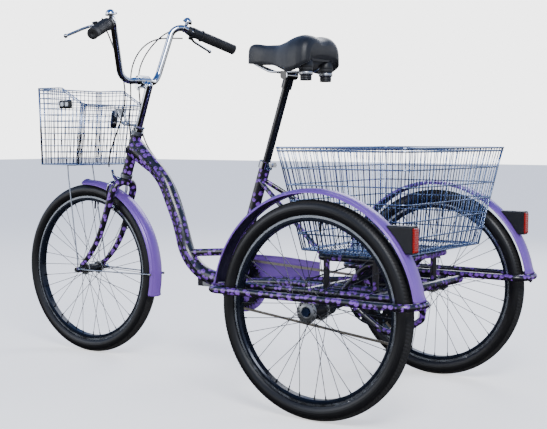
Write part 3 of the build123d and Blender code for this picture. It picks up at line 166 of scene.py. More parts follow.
sky.links.new(shown.outputs[2], backdrop.inputs["Color"])
glow = add(sky, "ShaderNodeMapRange", {"Value": seen, "To Min": 1.0, "To Max": 4.0})
sky.links.new(glow.outputs[0], backdrop.inputs["Strength"])


def lamp(name, at, towards, size, watts):
    """A large soft square lamp."""
    data = bpy.data.lights.new(name, "AREA")
    data.size, data.energy = size, watts
    made = bpy.data.objects.new(name, data)
    bpy.context.scene.collection.objects.link(made)
    made.location = at
    made.rotation_euler = (Vector(towards) - Vector(at)).to_track_quat("-Z", "Y").to_euler()


lamp("key_lamp", (-2.6, 2.6, 3.4), (0, 0, 0.5), 1.6, 170)
lamp("fill_lamp", (2.8, 3.0, 2.2), (0, 0, 0.5), 2.6, 60)
lamp("back_lamp", (0.5, -3.6, 3.0), (0, 0, 0.6), 2.4, 90)

floor_mesh = bpy.data.meshes.new("floor")
floor_mesh.from_pydata([(-30, -30, 0), (30, -30, 0), (30, 30, 0), (-30, 30, 0)], [], [(0, 1, 2, 3)])
floor = bpy.data.objects.new("floor", floor_mesh)
bpy.context.scene.collection.objects.link(floor)
floor_paint, floor_tree, floor_shader, floor_place = finish_of(
    "matt_studio_floor", "#F6F5F3", 0.85, Emission_Color=linear("#FFFDFA"), Emission_Strength=0.9)
bumped(floor_tree, floor_shader, varied(floor_tree, floor_place, 300, 0, 1), 0.0003, 0.2)
floor_mesh.materials.append(floor_paint)
floor.visible_glossy = False
print("studio: three lamps and a floor")

# %% [markdown]
# ## Surfaces from arrays
# Almost every new piece is a strip of rings: a small outline is carried along a path, and each ring is
# joined to the next. The rings are worked out for all stations at once, as one numpy array, and only
# then turned into a mesh.

# %% Ring helpers
def piece(name, parts, material, body, smooth=True, merge=False):
    """A mesh piece that rides on a body. parts are (rings, closed) pairs, rings being stations x sides x 3.

    Neighbouring stations are joined by four-sided faces, and the two ends of an open part get caps."""
    vertices, faces, start = [], [], 0
    for rings, closed in parts:
        stations, sides = rings.shape[:2]
        i, j = np.meshgrid(np.arange(stations if closed else stations - 1), np.arange(sides), indexing="ij")
        k, l = (i + 1) % stations, (j + 1) % sides
        quads = np.stack([i * sides + j, i * sides + l, k * sides + l, k * sides + j], -1)
        faces += (quads.reshape(-1, 4) + start).tolist()
        if not closed:
            faces.append((np.arange(sides)[::-1] + start).tolist())
            faces.append((np.arange(sides) + start + (stations - 1) * sides).tolist())
        vertices.append(rings.reshape(-1, 3))
        start += stations * sides
    mesh = bpy.data.meshes.new(name)
    mesh.from_pydata(np.concatenate(vertices).tolist(), [], faces)
    if merge:
        shell = bmesh.new()
        shell.from_mesh(mesh)
        bmesh.ops.remove_doubles(shell, verts=shell.verts, dist=1e-6)
        bmesh.ops.recalc_face_normals(shell, faces=shell.faces)
        shell.to_mesh(mesh)
        shell.free()
    mesh.polygons.foreach_set("use_smooth", [smooth] * len(mesh.polygons))
    for each in material if isinstance(material, (list, tuple)) else [material]:
        mesh.materials.append(each)
    made = bpy.data.objects.new(name, mesh)
    bpy.context.scene.collection.objects.link(made)
    if body:
        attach(made, body)
    return made


def tubes(paths, radius, normal, sides=6, closed=False):
    """Rings of round wires along many paths at once.

    At each station the ring is centre + radius * (cos a * u + sin a * v), where v is across the path and
    the given normal, and u is across both."""
    p = np.asarray(paths, float)
    p = p[None] if p.ndim == 2 else p
    t = np.roll(p, -1, 1) - np.roll(p, 1, 1)
    if not closed:
        t[:, 0], t[:, -1] = p[:, 1] - p[:, 0], p[:, -1] - p[:, -2]
    t /= np.linalg.norm(t, axis=-1, keepdims=True)
    u = np.cross(t, np.broadcast_to(normal, t.shape))
    u /= np.linalg.norm(u, axis=-1, keepdims=True)
    v = np.cross(t, u)
    a = np.linspace(0, 2 * np.pi, sides, endpoint=False)[:, None]
    rings = p[:, :, None] + radius * (np.cos(a) * u[:, :, None] + np.sin(a) * v[:, :, None])
    return [(each, closed) for each in rings]


def turned(profile, centre, axis, steps):
    """Rings of a turned part: each (radius, height) of the profile goes round an axis.

    A point is centre + height * axis + radius * (cos a * u + sin a * v)."""
    axis = np.array(axis, float) / np.linalg.norm(axis)
    u = np.cross(axis, (0, 1, 0) if abs(axis[1]) < 0.9 else (1, 0, 0))
    u /= np.linalg.norm(u)
    v = np.cross(axis, u)
    r, h = np.array(profile, float).T
    a = np.linspace(0, 2 * np.pi, steps, endpoint=False)
    spin = np.cos(a)[:, None] * u + np.sin(a)[:, None] * v
    return np.array(centre) + h[:, None, None] * axis + r[:, None, None] * spin[None]


print("helpers ready")

# %% [markdown]
# ## Paint, plating, rubber and plastic
# The tubes wear a gloss black enamel printed with leopard rosettes and sealed under clear lacquer. A
# Voronoi pattern gives one cell to each rosette, 19 mm apart as on the real tubes. A point near its
# cell's centre is purple, and a darker crescent sits off-centre inside it. A little noise bends the
# outlines so that no two rosettes are alike.

# %% Leopard enamel
ROSETTE_SPACING = 0.019


def leopard_enamel():
    """Black enamel with rosettes: purple out to 0.4 of a cell from its centre, a dark heart inside."""
    material, tree, shader, place = finish_of("leopard_enamel_under_lacquer", "#0D0B12", 0.32, 0.0,
                                              Coat_Weight=0.8, Coat_Roughness=0.3)
    wobble = add(tree, "ShaderNodeTexNoise", {"Vector": place, "Scale": 140.0, "Detail": 2.0})
    centred = add(tree, "ShaderNodeVectorMath", {0: wobble.outputs["Color"], 1: (0.5, 0.5, 0.5)},
                  operation="SUBTRACT")
    bent = add(tree, "ShaderNodeVectorMath", {0: centred.outputs[0], 1: (0.006,) * 3, 2: place},
               operation="MULTIPLY_ADD")
    cells = add(tree, "ShaderNodeTexVoronoi", {"Vector": bent.outputs[0], "Scale": 1 / ROSETTE_SPACING,
                                               "Randomness": 0.55})
    spot = add(tree, "ShaderNodeMapRange", {"Value": cells.outputs["Distance"], "From Min": 0.43,
                                            "From Max": 0.37, "To Min": 0.0, "To Max": 1.0})
    shifted = add(tree, "ShaderNodeVectorMath", {0: bent.outputs[0], 1: (0.0022, 0.0018, -0.0026)})
    inner = add(tree, "ShaderNodeTexVoronoi", {"Vector": shifted.outputs[0], "Scale": 1 / ROSETTE_SPACING,
                                               "Randomness": 0.55})
    heart = add(tree, "ShaderNodeMapRange", {"Value": inner.outputs["Distance"], "From Min": 0.22,
                                             "From Max": 0.16, "To Min": 0.0, "To Max": 0.75})
    purple = add(tree, "ShaderNodeMix", {"Factor": heart.outputs[0], 6: linear("#7440A6"),
                                         7: linear("#2E1A4C")}, data_type="RGBA")
    print_ink = add(tree, "ShaderNodeMix", {"Factor": spot.outputs[0], 6: linear("#100E15"),
                                            7: purple.outputs[2]}, data_type="RGBA")
    tree.links.new(print_ink.outputs[2], shader.inputs["Base Color"])
    tree.links.new(varied(tree, place, 60, 0.22, 0.36), shader.inputs["Roughness"])
    return material


leopard = leopard_enamel()

# %% [markdown]
# The mudguards and the chain guard are sprayed with a satin metallic lilac. Real metallic paint holds
# tiny flakes under a lacquer; seen from a few steps they only give a faint grain and a broad soft
# highlight, so the grain is drawn about 0.7 mm coarse. Their undersides get a dark lilac that is painted
# shade.

# %% Lilac paint, its painted shade and dark enamels
def lilac_metallic():
    """Satin metallic paint: a fine grain in colour, soft highlight, faint orange peel."""
    material, tree, shader, place = finish_of("lilac_metallic_paint", "#7850AE", 0.38, 0.25,
                                              Coat_Weight=0.35, Coat_Roughness=0.2)
    flake = add(tree, "ShaderNodeTexNoise", {"Vector": place, "Scale": 1400.0, "Detail": 1.0})
    mix = add(tree, "ShaderNodeMix", {"Factor": flake.outputs["Fac"], 6: linear("#67409C"),
                                      7: linear("#8860BE")}, data_type="RGBA")
    tree.links.new(mix.outputs[2], shader.inputs["Base Color"])
    tree.links.new(varied(tree, place, 18, 0.33, 0.45), shader.inputs["Roughness"])
    bumped(tree, shader, flake.outputs["Fac"], 0.00004, 0.35)
    return material


def enamel(name, colour, roughness, peel=0.0001):
    """Sprayed enamel with a slight orange peel, 4 mm from bump to bump."""
    material, tree, shader, place = finish_of(name, colour, roughness, 0.0, Coat_Weight=0.4,
                                              Coat_Roughness=0.1)
    skin = add(tree, "ShaderNodeTexNoise", {"Vector": place, "Scale": 250.0, "Detail": 1.5})
    bumped(tree, shader, skin.outputs["Fac"], peel, 0.4)
    tree.links.new(varied(tree, place, 25, roughness * 0.8, roughness * 1.25), shader.inputs["Roughness"])
    return material


lilac = lilac_metallic()
# Painted shade: a much darker copy of the lilac, for the faces under the mudguards
shaded_lilac = enamel("dark_primer", "#16122A", 0.55)
black_enamel = enamel("gloss_black_enamel", "#0C0D11", 0.18)

# %% [markdown]
# Bare metals differ mostly in how rough they are. Chrome plating is a mirror over polished steel.
# Zinc plate on the basket wires is bluish and a little cloudy. Steel parts that are turned or pressed
# stay grey, and anodised aluminium is satin with a fine brushed grain.

# %% Metals
def bare_metal(name, colour, rough_low, rough_high, grain=0.0, scale=30.0):
    """A metal whose roughness drifts between two values. grain is the depth of brush marks in metres."""
    material, tree, shader, place = finish_of(name, colour, rough_low, 1.0)
    tree.links.new(varied(tree, place, scale, rough_low, rough_high), shader.inputs["Roughness"])
    if grain:
        stretched = add(tree, "ShaderNodeMapping", {"Vector": place, "Scale": (2500.0, 60.0, 2500.0)})
        marks = add(tree, "ShaderNodeTexNoise", {"Vector": stretched.outputs[0], "Scale": 1.0, "Detail": 2.0})
        bumped(tree, shader, marks.outputs["Fac"], grain, 0.5)
    return material


chrome = bare_metal("chrome_plate", "#D4D9E2", 0.03, 0.09)
zinc_wire = bare_metal("blue_zinc_plated_wire", "#93A3C0", 0.12, 0.24, scale=80)
steel = bare_metal("zinc_plated_steel", "#A9AEB6", 0.25, 0.42)
dark_steel = bare_metal("oiled_chain_steel", "#A09A90", 0.28, 0.45, scale=200)
alloy = bare_metal("brushed_aluminium", "#C3C6CB", 0.24, 0.38, grain=0.00002)
pressed_steel = bare_metal("pressed_hub_steel", "#B4B6B8", 0.35, 0.5)
blue_steel = bare_metal("blued_steel_nut", "#3D4E74", 0.18, 0.3)

# %% [markdown]
# The rims are rolled from steel strip and stove enamelled black; only the rolled outer edge was left
# bright. On all three rims the bright ring starts 253.5 mm from the axle, so the finish measures that
# distance from each wheel's own centre. The hubs are done the same way: a black barrel, bright flanges.

# %% Rim enamel with a bright edge
BRIGHT_EDGE_FROM = 0.2535


def radial(tree, place, hub):
    """Distance from a wheel's axle, measured in the plane of the wheel."""
    centre = tuple(float(c) for c in hub)
    centred = add(tree, "ShaderNodeVectorMath", {0: place, 1: centre}, operation="SUBTRACT")
    flat = add(tree, "ShaderNodeVectorMath", {0: centred.outputs[0], 1: (1.0, 0.0, 1.0)},
               operation="MULTIPLY")
    return add(tree, "ShaderNodeVectorMath", {0: flat.outputs[0]}, operation="LENGTH").outputs["Value"]


def two_tone(name, hub, inside, outside, edge, metal_in, metal_out, rough=0.22):
    """Inside a radius one finish, beyond it another: black enamel and bright metal on one part."""
    material, tree, shader, place = finish_of(name, inside, rough, 0.5)
    step = add(tree, "ShaderNodeMath", {0: radial(tree, place, hub), 1: edge}, operation="GREATER_THAN")
    colour = add(tree, "ShaderNodeMix", {"Factor": step.outputs[0], 6: linear(inside), 7: linear(outside)},
                 data_type="RGBA")
    metal = add(tree, "ShaderNodeMapRange", {"Value": step.outputs[0], "To Min": metal_in,
                                             "To Max": metal_out})
    tree.links.new(colour.outputs[2], shader.inputs["Base Color"])
    tree.links.new(metal.outputs[0], shader.inputs["Metallic"])
    tree.links.new(varied(tree, place, 40, rough * 0.8, rough * 1.4), shader.inputs["Roughness"])
    return material


HUBS = {"front": FRONT_HUB, "left": LEFT_HUB, "right": RIGHT_HUB}
rim_paint = {k: two_tone(f"rim_enamel_{k}", h, "#141A26", "#C9D2E0", BRIGHT_EDGE_FROM, 0.55, 1.0)
             for k, h in HUBS.items()}
FLANGE_FROM = {"front": 0.0155, "left": 0.0245, "right": 0.0245}
hub_paint = {k: two_tone(f"hub_shell_{k}", h, "#15161A", "#B9BBBD", FLANGE_FROM[k], 0.3, 0.85, 0.35)
             for k, h in HUBS.items()}

# %% [markdown]
# Rubber, vinyl and moulded plastics are all black here, and differ in their surface. Tyre rubber is
# dull with a dusty tread, the grips are softer and greyer, the plastic has a fine spark-eroded texture,
# and the saddle's vinyl is pressed with a leather grain of about 1.3 mm.

# %% Rubber, plastic and vinyl
def moulded(name, colour, roughness, grain_mm, depth_mm, **sockets):
    """Moulded plastic or rubber with a fine even texture."""
    material, tree, shader, place = finish_of(name, colour, roughness, 0.0, **sockets)
    grains = add(tree, "ShaderNodeTexNoise", {"Vector": place, "Scale": 1000.0 / grain_mm, "Detail": 2.0})
    bumped(tree, shader, grains.outputs["Fac"], depth_mm / 1000.0, 0.5)
    tree.links.new(varied(tree, place, 30, roughness * 0.85, min(1.0, roughness * 1.15)),
                   shader.inputs["Roughness"])
    return material


def tyre_rubber():
    """Black rubber, greyer with dust where the tread attribute says that the tyre meets the road."""
    material, tree, shader, place = finish_of("tyre_rubber", "#0B0B0D", 0.5, 0.0)
    tread = add(tree, "ShaderNodeAttribute", attribute_name="tread").outputs["Fac"]
    dust = add(tree, "ShaderNodeTexNoise", {"Vector": place, "Scale": 60.0, "Detail": 5.0})
    share = add(tree, "ShaderNodeMath", {0: tread, 1: dust.outputs["Fac"]}, operation="MULTIPLY")
    colour = add(tree, "ShaderNodeMix", {"Factor": share.outputs[0], 6: linear("#0A0A0C"),
                                         7: linear("#1E1D1C")}, data_type="RGBA")
    tree.links.new(colour.outputs[2], shader.inputs["Base Color"])
    rough = add(tree, "ShaderNodeMapRange", {"Value": tread, "To Min": 0.42, "To Max": 0.75})
    tree.links.new(rough.outputs[0], shader.inputs["Roughness"])
    return material


def grained_vinyl():
    """Black vinyl with a pebbled leather grain: cells about 1.3 mm across with soft valleys."""
    material, tree, shader, place = finish_of("grained_saddle_vinyl", "#121418", 0.42, 0.0,
                                              Sheen_Weight=0.08, Specular_IOR_Level=0.5)
    pebble = add(tree, "ShaderNodeTexVoronoi", {"Vector": place, "Scale": 1 / 0.0013},
                 feature="SMOOTH_F1")
    bumped(tree, shader, pebble.outputs["Distance"], 0.00012, 0.35)
    tree.links.new(varied(tree, place, 20, 0.36, 0.52), shader.inputs["Roughness"])
    return material


tyre_black = tyre_rubber()
vinyl = grained_vinyl()
plastic = moulded("black_moulded_plastic", "#131417", 0.45, 0.8, 0.03)
grip_rubber = moulded("soft_grip_rubber", "#121213", 0.62, 1.2, 0.06)
cable_cover = moulded("cable_housing_pvc", "#0C0C0E", 0.35, 1.5, 0.02)
spoke_paint = enamel("black_spoke_enamel", "#0E0F12", 0.25, 0.00002)

# %% [markdown]
# Lenses are clear coloured acrylic over a moulded grid of prisms. Real prisms throw light back; here a
# fine relief breaks the highlight into rows. Each slope of a prism is 2 to 3 mm wide, so that it shows
# from a few steps away.

# %% Lenses
def prism_lens(name, colour, slope):
    """Acrylic with a relief of square prisms: the sum of two triangle waves, each slope this wide."""
    material, tree, shader, place = finish_of(name, colour, 0.12, 0.0, Coat_Weight=1.0, Coat_Roughness=0.03,
                                              IOR=1.49)
    rows = add(tree, "ShaderNodeVectorMath", {0: place, 1: (1 / slope,) * 3}, operation="MULTIPLY")
    split = add(tree, "ShaderNodeSeparateXYZ", {"Vector": rows.outputs[0]})
    waves = [add(tree, "ShaderNodeMath", {0: split.outputs[k], 1: 1.0}, operation="PINGPONG")
             for k in ("Y", "Z")]
    both = add(tree, "ShaderNodeMath", {0: waves[0].outputs[0], 1: waves[1].outputs[0]}, operation="ADD")
    bumped(tree, shader, both.outputs[0], 0.0008, 0.8)
    return material


red_lens = prism_lens("red_acrylic_lens", "#8E0A06", 0.003)
amber_lens = prism_lens("amber_acrylic_lens", "#E07A10", 0.003)
grey_lens = prism_lens("clear_acrylic_reflector", "#A9AEB4", 0.002)
print("finishes:", len(bpy.data.materials))

# %% Dress the CAD nodes that stay
DRESS = {
    leopard: ["main_frame", "rear_carrier", "wheel_hoop_left", "wheel_hoop_right", "fork"],
    lilac: ["chain_guard"],
    black_enamel: ["seat_post", "chainring", "derailleur", "disc_caliper", "disc_brake_arm", "axle_bearings",
                   "disc_rotor"],
    chrome: ["handlebar", "stem", "saddle_rails", "bells", "bell_lever", "caliper_arm_left",
             "caliper_arm_right", "clamp_and_bolts", "steering_fasteners"],
    steel: ["bearing_cups", "front_stays", "freewheel"],
    dark_steel: ["chain"],
    alloy: ["crank_arms", "brake_lever_left", "brake_lever_right"],
    blue_steel: ["drive_axle"],
    spoke_paint: ["left_spokes", "right_spokes", "front_spokes"],
    plastic: ["lever_mounts", "shift_sleeve", "tail_light_housings", "pedal_left", "pedal_right",
              "guide_pulley", "tension_pulley"],
    red_lens: ["tail_light_lenses"],
}
DRESS.update({rim_paint[k]: [f"{k}_rim"] for k in HUBS})
DRESS.update({hub_paint[k]: [f"{k}_hub"] for k in HUBS})
for material, names in DRESS.items():
    for name in names:
        nodes[name].data.materials.clear()
        nodes[name].data.materials.append(material)
print("dressed", sum(len(v) for v in DRESS.values()), "nodes")

# %% [markdown]
# ## Tyres
# The CAD tyre is a smooth hollow ring, right in size but bald. A bicycle tyre has a rounded casing with
# fine ribs on its side, and a tread cut by grooves that run round it and by short cross grooves. The
# section is a circle whose radius is lowered where the tread is cut; that relief is worked out on a grid
# of two angles, one round the section and one round the wheel.

# %% Tyre surface
TYRE_OUTER, TYRE_WIDE, TYRE_WALL, TYRE_BEAD_R = 0.3019, 0.0478, 0.0035, 0.2603


def tyre(name, hub):
    """Ring of radius R + r cos(s) about the axle, offset r sin(s) sideways.

    r is the section radius less the grooves: two round the wheel near the crown, a zigzag of cross cuts
    beside them, and fine ribs low on the side wall."""
    section = TYRE_WIDE / 2
    middle = TYRE_OUTER - section
    end = np.arccos((TYRE_BEAD_R - middle) / section)
    s = np.linspace(-end, end, 61)
    a = np.linspace(0, 2 * np.pi, 1080, endpoint=False)
    S, A = np.meshgrid(s, a)
    tread = np.clip((0.95 - np.abs(S)) / 0.15, 0, 1)
    ring_cut = np.exp(-((np.abs(S) - 0.22) / 0.05) ** 2)
    teeth = (np.sin(180 * A + 6 * np.abs(S)) > 0.3) * np.clip((np.abs(S) - 0.35) / 0.1, 0, 1)
    ribs = 0.5 + 0.5 * np.sin(26 * np.abs(S))
    depth = tread * (0.0012 * ring_cut + 0.0011 * teeth) + (1 - tread) * 0.0004 * ribs
    r = section - depth
    outer = np.stack([hub[0] + (middle + r * np.cos(S)) * np.cos(A), hub[1] + r * np.sin(S),
                      hub[2] + (middle + r * np.cos(S)) * np.sin(A)], -1)
    inner_s = np.linspace(end, -end, 9)
    IS, IA = np.meshgrid(inner_s, a)
    ri = section - TYRE_WALL
    inner = np.stack([hub[0] + (middle + ri * np.cos(IS)) * np.cos(IA), hub[1] + ri * np.sin(IS),
                      hub[2] + (middle + ri * np.cos(IS)) * np.sin(IA)], -1)
    made = piece(name, [(np.concatenate([outer, inner], 1), True)], tyre_black, None)
    mark = made.data.attributes.new("tread", "FLOAT", "POINT")
    values = np.concatenate([tread, np.zeros_like(IS)], 1).ravel()
    mark.data.foreach_set("value", values.astype(np.float32))
    return made


for side, body in (("front", "front_wheel"), ("left", "left_wheel"), ("right", "drive_wheel")):
    made = tyre(f"{side}_tyre_cover", HUBS[side])
    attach(made, body)
    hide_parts(f"{side}_tyre")
    print(made.name, len(made.data.vertices), "points")

# %% [markdown]
# ## Mudguards
# A pressed mudguard is one strip of thin sheet: a shallow crown, a raised bead on each shoulder that
# stiffens it, and edges rolled inwards. Its open end flares and is rolled too. The section is a
# closed outline of an outer and an inner line, carried round the wheel's hub. The section is widened and
# lifted over the last few degrees, which makes the flare. The inside is painted shade: a much darker lilac.

# %% Mudguard surface
GUARD_WALL = 0.0016


def guard_section(half, sagitta, count=33):
    """Outer line of the section, as sideways and outward distances.

    The crown is h = sagitta (1 - |y / half|^2.3). A bell shape adds a bead at 0.80 of the half width, and
    another cuts a groove at 0.66."""
    y = np.linspace(-1, 1, count)
    crown = sagitta * (1 - np.abs(y) ** 2.3)
    bead = 0.0014 * np.exp(-((np.abs(y) - 0.80) / 0.055) ** 2)
    groove = -0.0009 * np.exp(-((np.abs(y) - 0.66) / 0.05) ** 2)
    return y * half, crown + bead + groove


def mudguard(name, hub, radius, start, end, half, sagitta, node):
    """Section carried round the hub: a point is hub + r (cos a, 0, sin a) + its sideways distance.

    Three quarters of a small circle roll each edge. The flare grows with the square of the share of the
    last 4 degrees, and a narrow bell just inside each end is the rolled lip."""
    y, h = guard_section(half, sagitta)
    rolled = np.linspace(0, 1.5 * np.pi, 9)
    lip_r = 0.0021
    lip_y = half - lip_r + lip_r * np.sin(rolled + np.pi / 2)
    lip_h = lip_r * np.cos(rolled + np.pi / 2)
    outer_y = np.concatenate([-lip_y[::-1], y[1:-1], lip_y])
    outer_h = np.concatenate([lip_h[::-1], h[1:-1], lip_h])
    inner_y, inner_h = y[2:-2][::-1] * 0.965, h[2:-2][::-1] - GUARD_WALL
    ys, hs = np.concatenate([outer_y, inner_y]), np.concatenate([outer_h, inner_h])
    a = np.linspace(start, end, int((end - start) / 1.2))
    flare = np.zeros_like(a)
    for at in (start, end):
        flare += np.clip(1 - np.abs(a - at) / 4.0, 0, 1) ** 2
    roll = 0.0022 * np.exp(-((np.minimum(a - start, end - a) - 0.4) / 0.4) ** 2)
    base = radius - sagitta - 0.0004
    r = base + (hs[None] + 0.0035 * flare[:, None] * (hs[None] > -0.001)) + roll[:, None]
    r = np.minimum(r, radius + 0.006)
    wide = ys[None] * (1 + 0.03 * flare[:, None])
    rings = np.stack([hub[0] + r * np.cos(np.radians(a))[:, None], hub[1] + wide,
                      hub[2] + r * np.sin(np.radians(a))[:, None]], -1)
    made = piece(name, [(rings, False)], [lilac, shaded_lilac], None, merge=True)
    # Faces turned back to the wheel take the second finish, the dark lilac that is painted shade under the
    # guard
    centre = np.zeros(len(made.data.polygons) * 3)
    normal = np.zeros(len(made.data.polygons) * 3)
    made.data.polygons.foreach_get("center", centre)
    made.data.polygons.foreach_get("normal", normal)
    outward = (centre.reshape(-1, 3) - hub) * (1, 0, 1)
    inside = (np.sum(outward * normal.reshape(-1, 3), 1) < -0.1) & (
        np.abs(centre.reshape(-1, 3)[:, 1] - hub[1]) < half * 0.93)
    made.data.polygons.foreach_set("material_index", inside.astype(np.int32))
    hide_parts(node)
    return made


REAR_GUARD_R, REAR_GUARD_HALF, REAR_SAGITTA = 0.3330, 0.0308, 0.0105
for side in ("left", "right"):
    made = mudguard(f"{side}_mudguard", HUBS[side], REAR_GUARD_R, 8.9, 171.1, REAR_GUARD_HALF, REAR_SAGITTA,
                    f"rear_fender_{side}")
    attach(made, "frame")
front_guard = mudguard("front_mudguard", FRONT_HUB, 0.3175, 87.0, 194.0, 0.0308, 0.0140, "front_fender")
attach(front_guard, "steering")
print("mudguards done")

# %% [markdown]
# ## Wire baskets
# A cycle basket is welded from straight wire: horizontal hoops, upright wires that start at the rim, run
# down the wall and cross the floor, and a thicker rim. Both baskets taper downwards. One function gives
# the same number of points round a rounded rectangle at any height, so an upright wire is simply the
# same point taken at each level.

# %% Basket helpers
CORNER_POINTS = 5


def rounded_ring(x0, x1, half, z, corner, along_x, along_y, turn=CORNER_POINTS):
    """Points round a rounded rectangle at height z, evenly spaced on each side, the same count at any size.

    It starts at the front right corner and goes by the left side. z may be one height or one per point."""
    fx = np.linspace(0, 1, along_x, endpoint=False)
    fy = np.linspace(0, 1, along_y, endpoint=False)
    arc = np.linspace(0, np.pi / 2, turn, endpoint=False)
    cx0, cx1, cy = x0 + corner, x1 - corner, half - corner
    x = [np.full(along_y, x1), cx1 + corner * np.cos(arc), cx1 - fx * (cx1 - cx0), cx0 - corner * np.sin(arc),
         np.full(along_y, x0), cx0 - corner * np.cos(arc), cx0 + fx * (cx1 - cx0), cx1 + corner * np.sin(arc)]
    y = [-cy + fy * 2 * cy, cy + corner * np.sin(arc), np.full(along_x, half), cy + corner * np.cos(arc),
         cy - fy * 2 * cy, -cy - corner * np.sin(arc), np.full(along_x, -half), -cy - corner * np.cos(arc)]
    x, y = np.concatenate(x), np.concatenate(y)
    return np.stack([x, y, np.broadcast_to(z, x.shape)], -1)


def level(low, high, z):
    """Size of a tapering wall at height z, between two (x0, x1, half width, z) levels."""
    f = (z - low[3]) / (high[3] - low[3])
    return tuple(l + (h - l) * f for l, h in zip(low, high))


UP = (0.0, 0.0, 1.0)
WIRE, RIM_WIRE = 0.00145, 0.0030

# %% Rear basket
rear_low, rear_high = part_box("rear_basket")
RIM_TOP = (rear_low.x + 0.003, rear_high.x - 0.003, rear_high.y - 0.003, rear_high.z - 0.003)
SECOND = (RIM_TOP[0] + 0.009, RIM_TOP[1] - 0.008, RIM_TOP[2] - 0.017, RIM_TOP[3] - 0.058)
WALL_FOOT = (RIM_TOP[0] + 0.046, RIM_TOP[1] - 0.042, RIM_TOP[2] - 0.068, RIM_TOP[3] - 0.291)
PAN_TOP = (WALL_FOOT[0] + 0.050, WALL_FOOT[1] - 0.021, WALL_FOOT[2] - 0.046, WALL_FOOT[3])
PAN_FLOOR = (PAN_TOP[0] + 0.010, PAN_TOP[1] - 0.010, PAN_TOP[2] - 0.015, rear_low.z + 0.003)
REAR_CORNER = 0.030
LONG, CROSS = 20, 29


def rear_ring(size, corner=REAR_CORNER):
    """One hoop of the rear basket, for one (x0, x1, half width, z) level."""
    return rounded_ring(*size, corner, LONG, CROSS)


levels = [RIM_TOP, SECOND] + [level(WALL_FOOT, SECOND, WALL_FOOT[3] + (SECOND[3] - WALL_FOOT[3]) * k / 5)
                              for k in (4, 3, 2, 1)] + [WALL_FOOT]
hoops = tubes([rear_ring(s) for s in levels[1:]], WIRE * 1.5, UP, closed=True)
hoops += tubes([rear_ring(RIM_TOP)], RIM_WIRE, UP, 10, closed=True)
second_rim = (RIM_TOP[0] + 0.001, RIM_TOP[1] - 0.001, RIM_TOP[2] - 0.002, RIM_TOP[3] - 0.009)
hoops += tubes([rear_ring(second_rim)], RIM_WIRE * 0.8, UP, 8, closed=True)
hoops += tubes([rear_ring(PAN_TOP, 0.02), rear_ring(PAN_FLOOR, 0.02)], WIRE * 1.3, UP, closed=True)
rise = np.stack([rear_ring(s) for s in (RIM_TOP, SECOND, WALL_FOOT)], 1)
inward = np.stack([rear_ring(s, 0.02) for s in (PAN_TOP, PAN_FLOOR)], 1)
uprights = np.concatenate([rise, inward], 1)
tangent = np.roll(uprights[:, 0], -1, 0) - np.roll(uprights[:, 0], 1, 0)
walls = [part for path, t in zip(uprights, tangent) for part in tubes([path], WIRE, t)]
floor_x = np.linspace(PAN_FLOOR[0] + 0.01, PAN_FLOOR[1] - 0.01, LONG)
floor_y = np.linspace(-PAN_FLOOR[2] + 0.008, PAN_FLOOR[2] - 0.008, CROSS)
z_floor = PAN_FLOOR[3]
crossing = [[(x, -PAN_FLOOR[2], z_floor), (x, PAN_FLOOR[2], z_floor)] for x in floor_x]
lengthwise = [[(PAN_FLOOR[0], y, z_floor - 0.0015), (PAN_FLOOR[1], y, z_floor - 0.0015)] for y in floor_y]
ledge = [[(x, s * WALL_FOOT[2], WALL_FOOT[3]), (x, s * PAN_TOP[2], PAN_TOP[3])]
         for x in floor_x for s in (1, -1)]
grid = tubes(crossing, WIRE, UP) + tubes(lengthwise, WIRE, UP) + tubes(ledge, WIRE, UP)
rear_wires = piece("rear_basket_wires", hoops + walls + grid, zinc_wire, "frame")
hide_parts("rear_basket")
print("rear basket:", len(uprights), "uprights,", len(rear_wires.data.polygons), "faces")

# %% [markdown]
# The front basket is cut away towards the rider: its rim runs level along the front, slopes down beside
# the handlebar and is level again at the back. So each hoop above the low back is open, and each
# upright wire stops at the rim. The rim's height is one function of how far forward a point is.

# %% Front basket
front_low, front_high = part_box("front_basket")
FRONT_TOP = (front_low.x, front_high.x - 0.002, front_high.y, front_high.z)
FRONT_FOOT = (front_low.x + 0.043, front_high.x - 0.005, front_high.y - 0.0095, front_low.z + 0.0015)
LOW_BACK, STEP_X = front_high.z - 0.066, front_low.x + 0.115
FLONG, FCROSS = 11, 14


def rim_height(x):
    """Level at the front, a straight slope, and the low back."""
    return np.clip(LOW_BACK + (x - front_low.x) / (STEP_X - front_low.x) * (FRONT_TOP[3] - LOW_BACK),
                   LOW_BACK, FRONT_TOP[3] - 0.002)


def front_ring(z):
    """One hoop of the front basket's tapering wall at height z."""
    return rounded_ring(*level(FRONT_FOOT, FRONT_TOP, z), 0.014, FLONG, FCROSS)


parts = []
for z in np.linspace(FRONT_FOOT[3], LOW_BACK - 0.006, 10):
    parts += tubes([front_ring(z)], WIRE * 1.1, UP, closed=True)
for z in np.linspace(LOW_BACK + 0.012, FRONT_TOP[3] - 0.019, 3):
    ring = front_ring(z)
    ring = np.roll(ring, -int(np.argmax(rim_height(ring[:, 0]) < z)), 0)
    standing = ring[rim_height(ring[:, 0]) >= z]
    parts += tubes([standing], WIRE * 1.1, UP)
ring_top = front_ring(FRONT_TOP[3] - 0.003)
ring_top[:, 2] = rim_height(ring_top[:, 0])
ring_foot = front_ring(FRONT_FOOT[3])
share = ((ring_top[:, 2] - FRONT_FOOT[3]) / (FRONT_TOP[3] - FRONT_FOOT[3]))[:, None]
ring_top[:, :2] = (ring_foot + (ring_top - ring_foot) * share)[:, :2]
ring_top[:, 2] = rim_height(ring_top[:, 0])
parts += tubes([ring_top], RIM_WIRE * 0.75, UP, 8, closed=True)
under = ring_top - (0, 0, 0.0065)
parts += tubes([under], RIM_WIRE * 0.6, UP, 8, closed=True)
parts += tubes([ring_foot], RIM_WIRE * 0.7, UP, 8, closed=True)
side_tangent = np.roll(ring_foot, -1, 0) - np.roll(ring_foot, 1, 0)
parts += [p for top, foot, t in zip(ring_top, ring_foot, side_tangent)
          for p in tubes([[top, foot]], WIRE, t)]
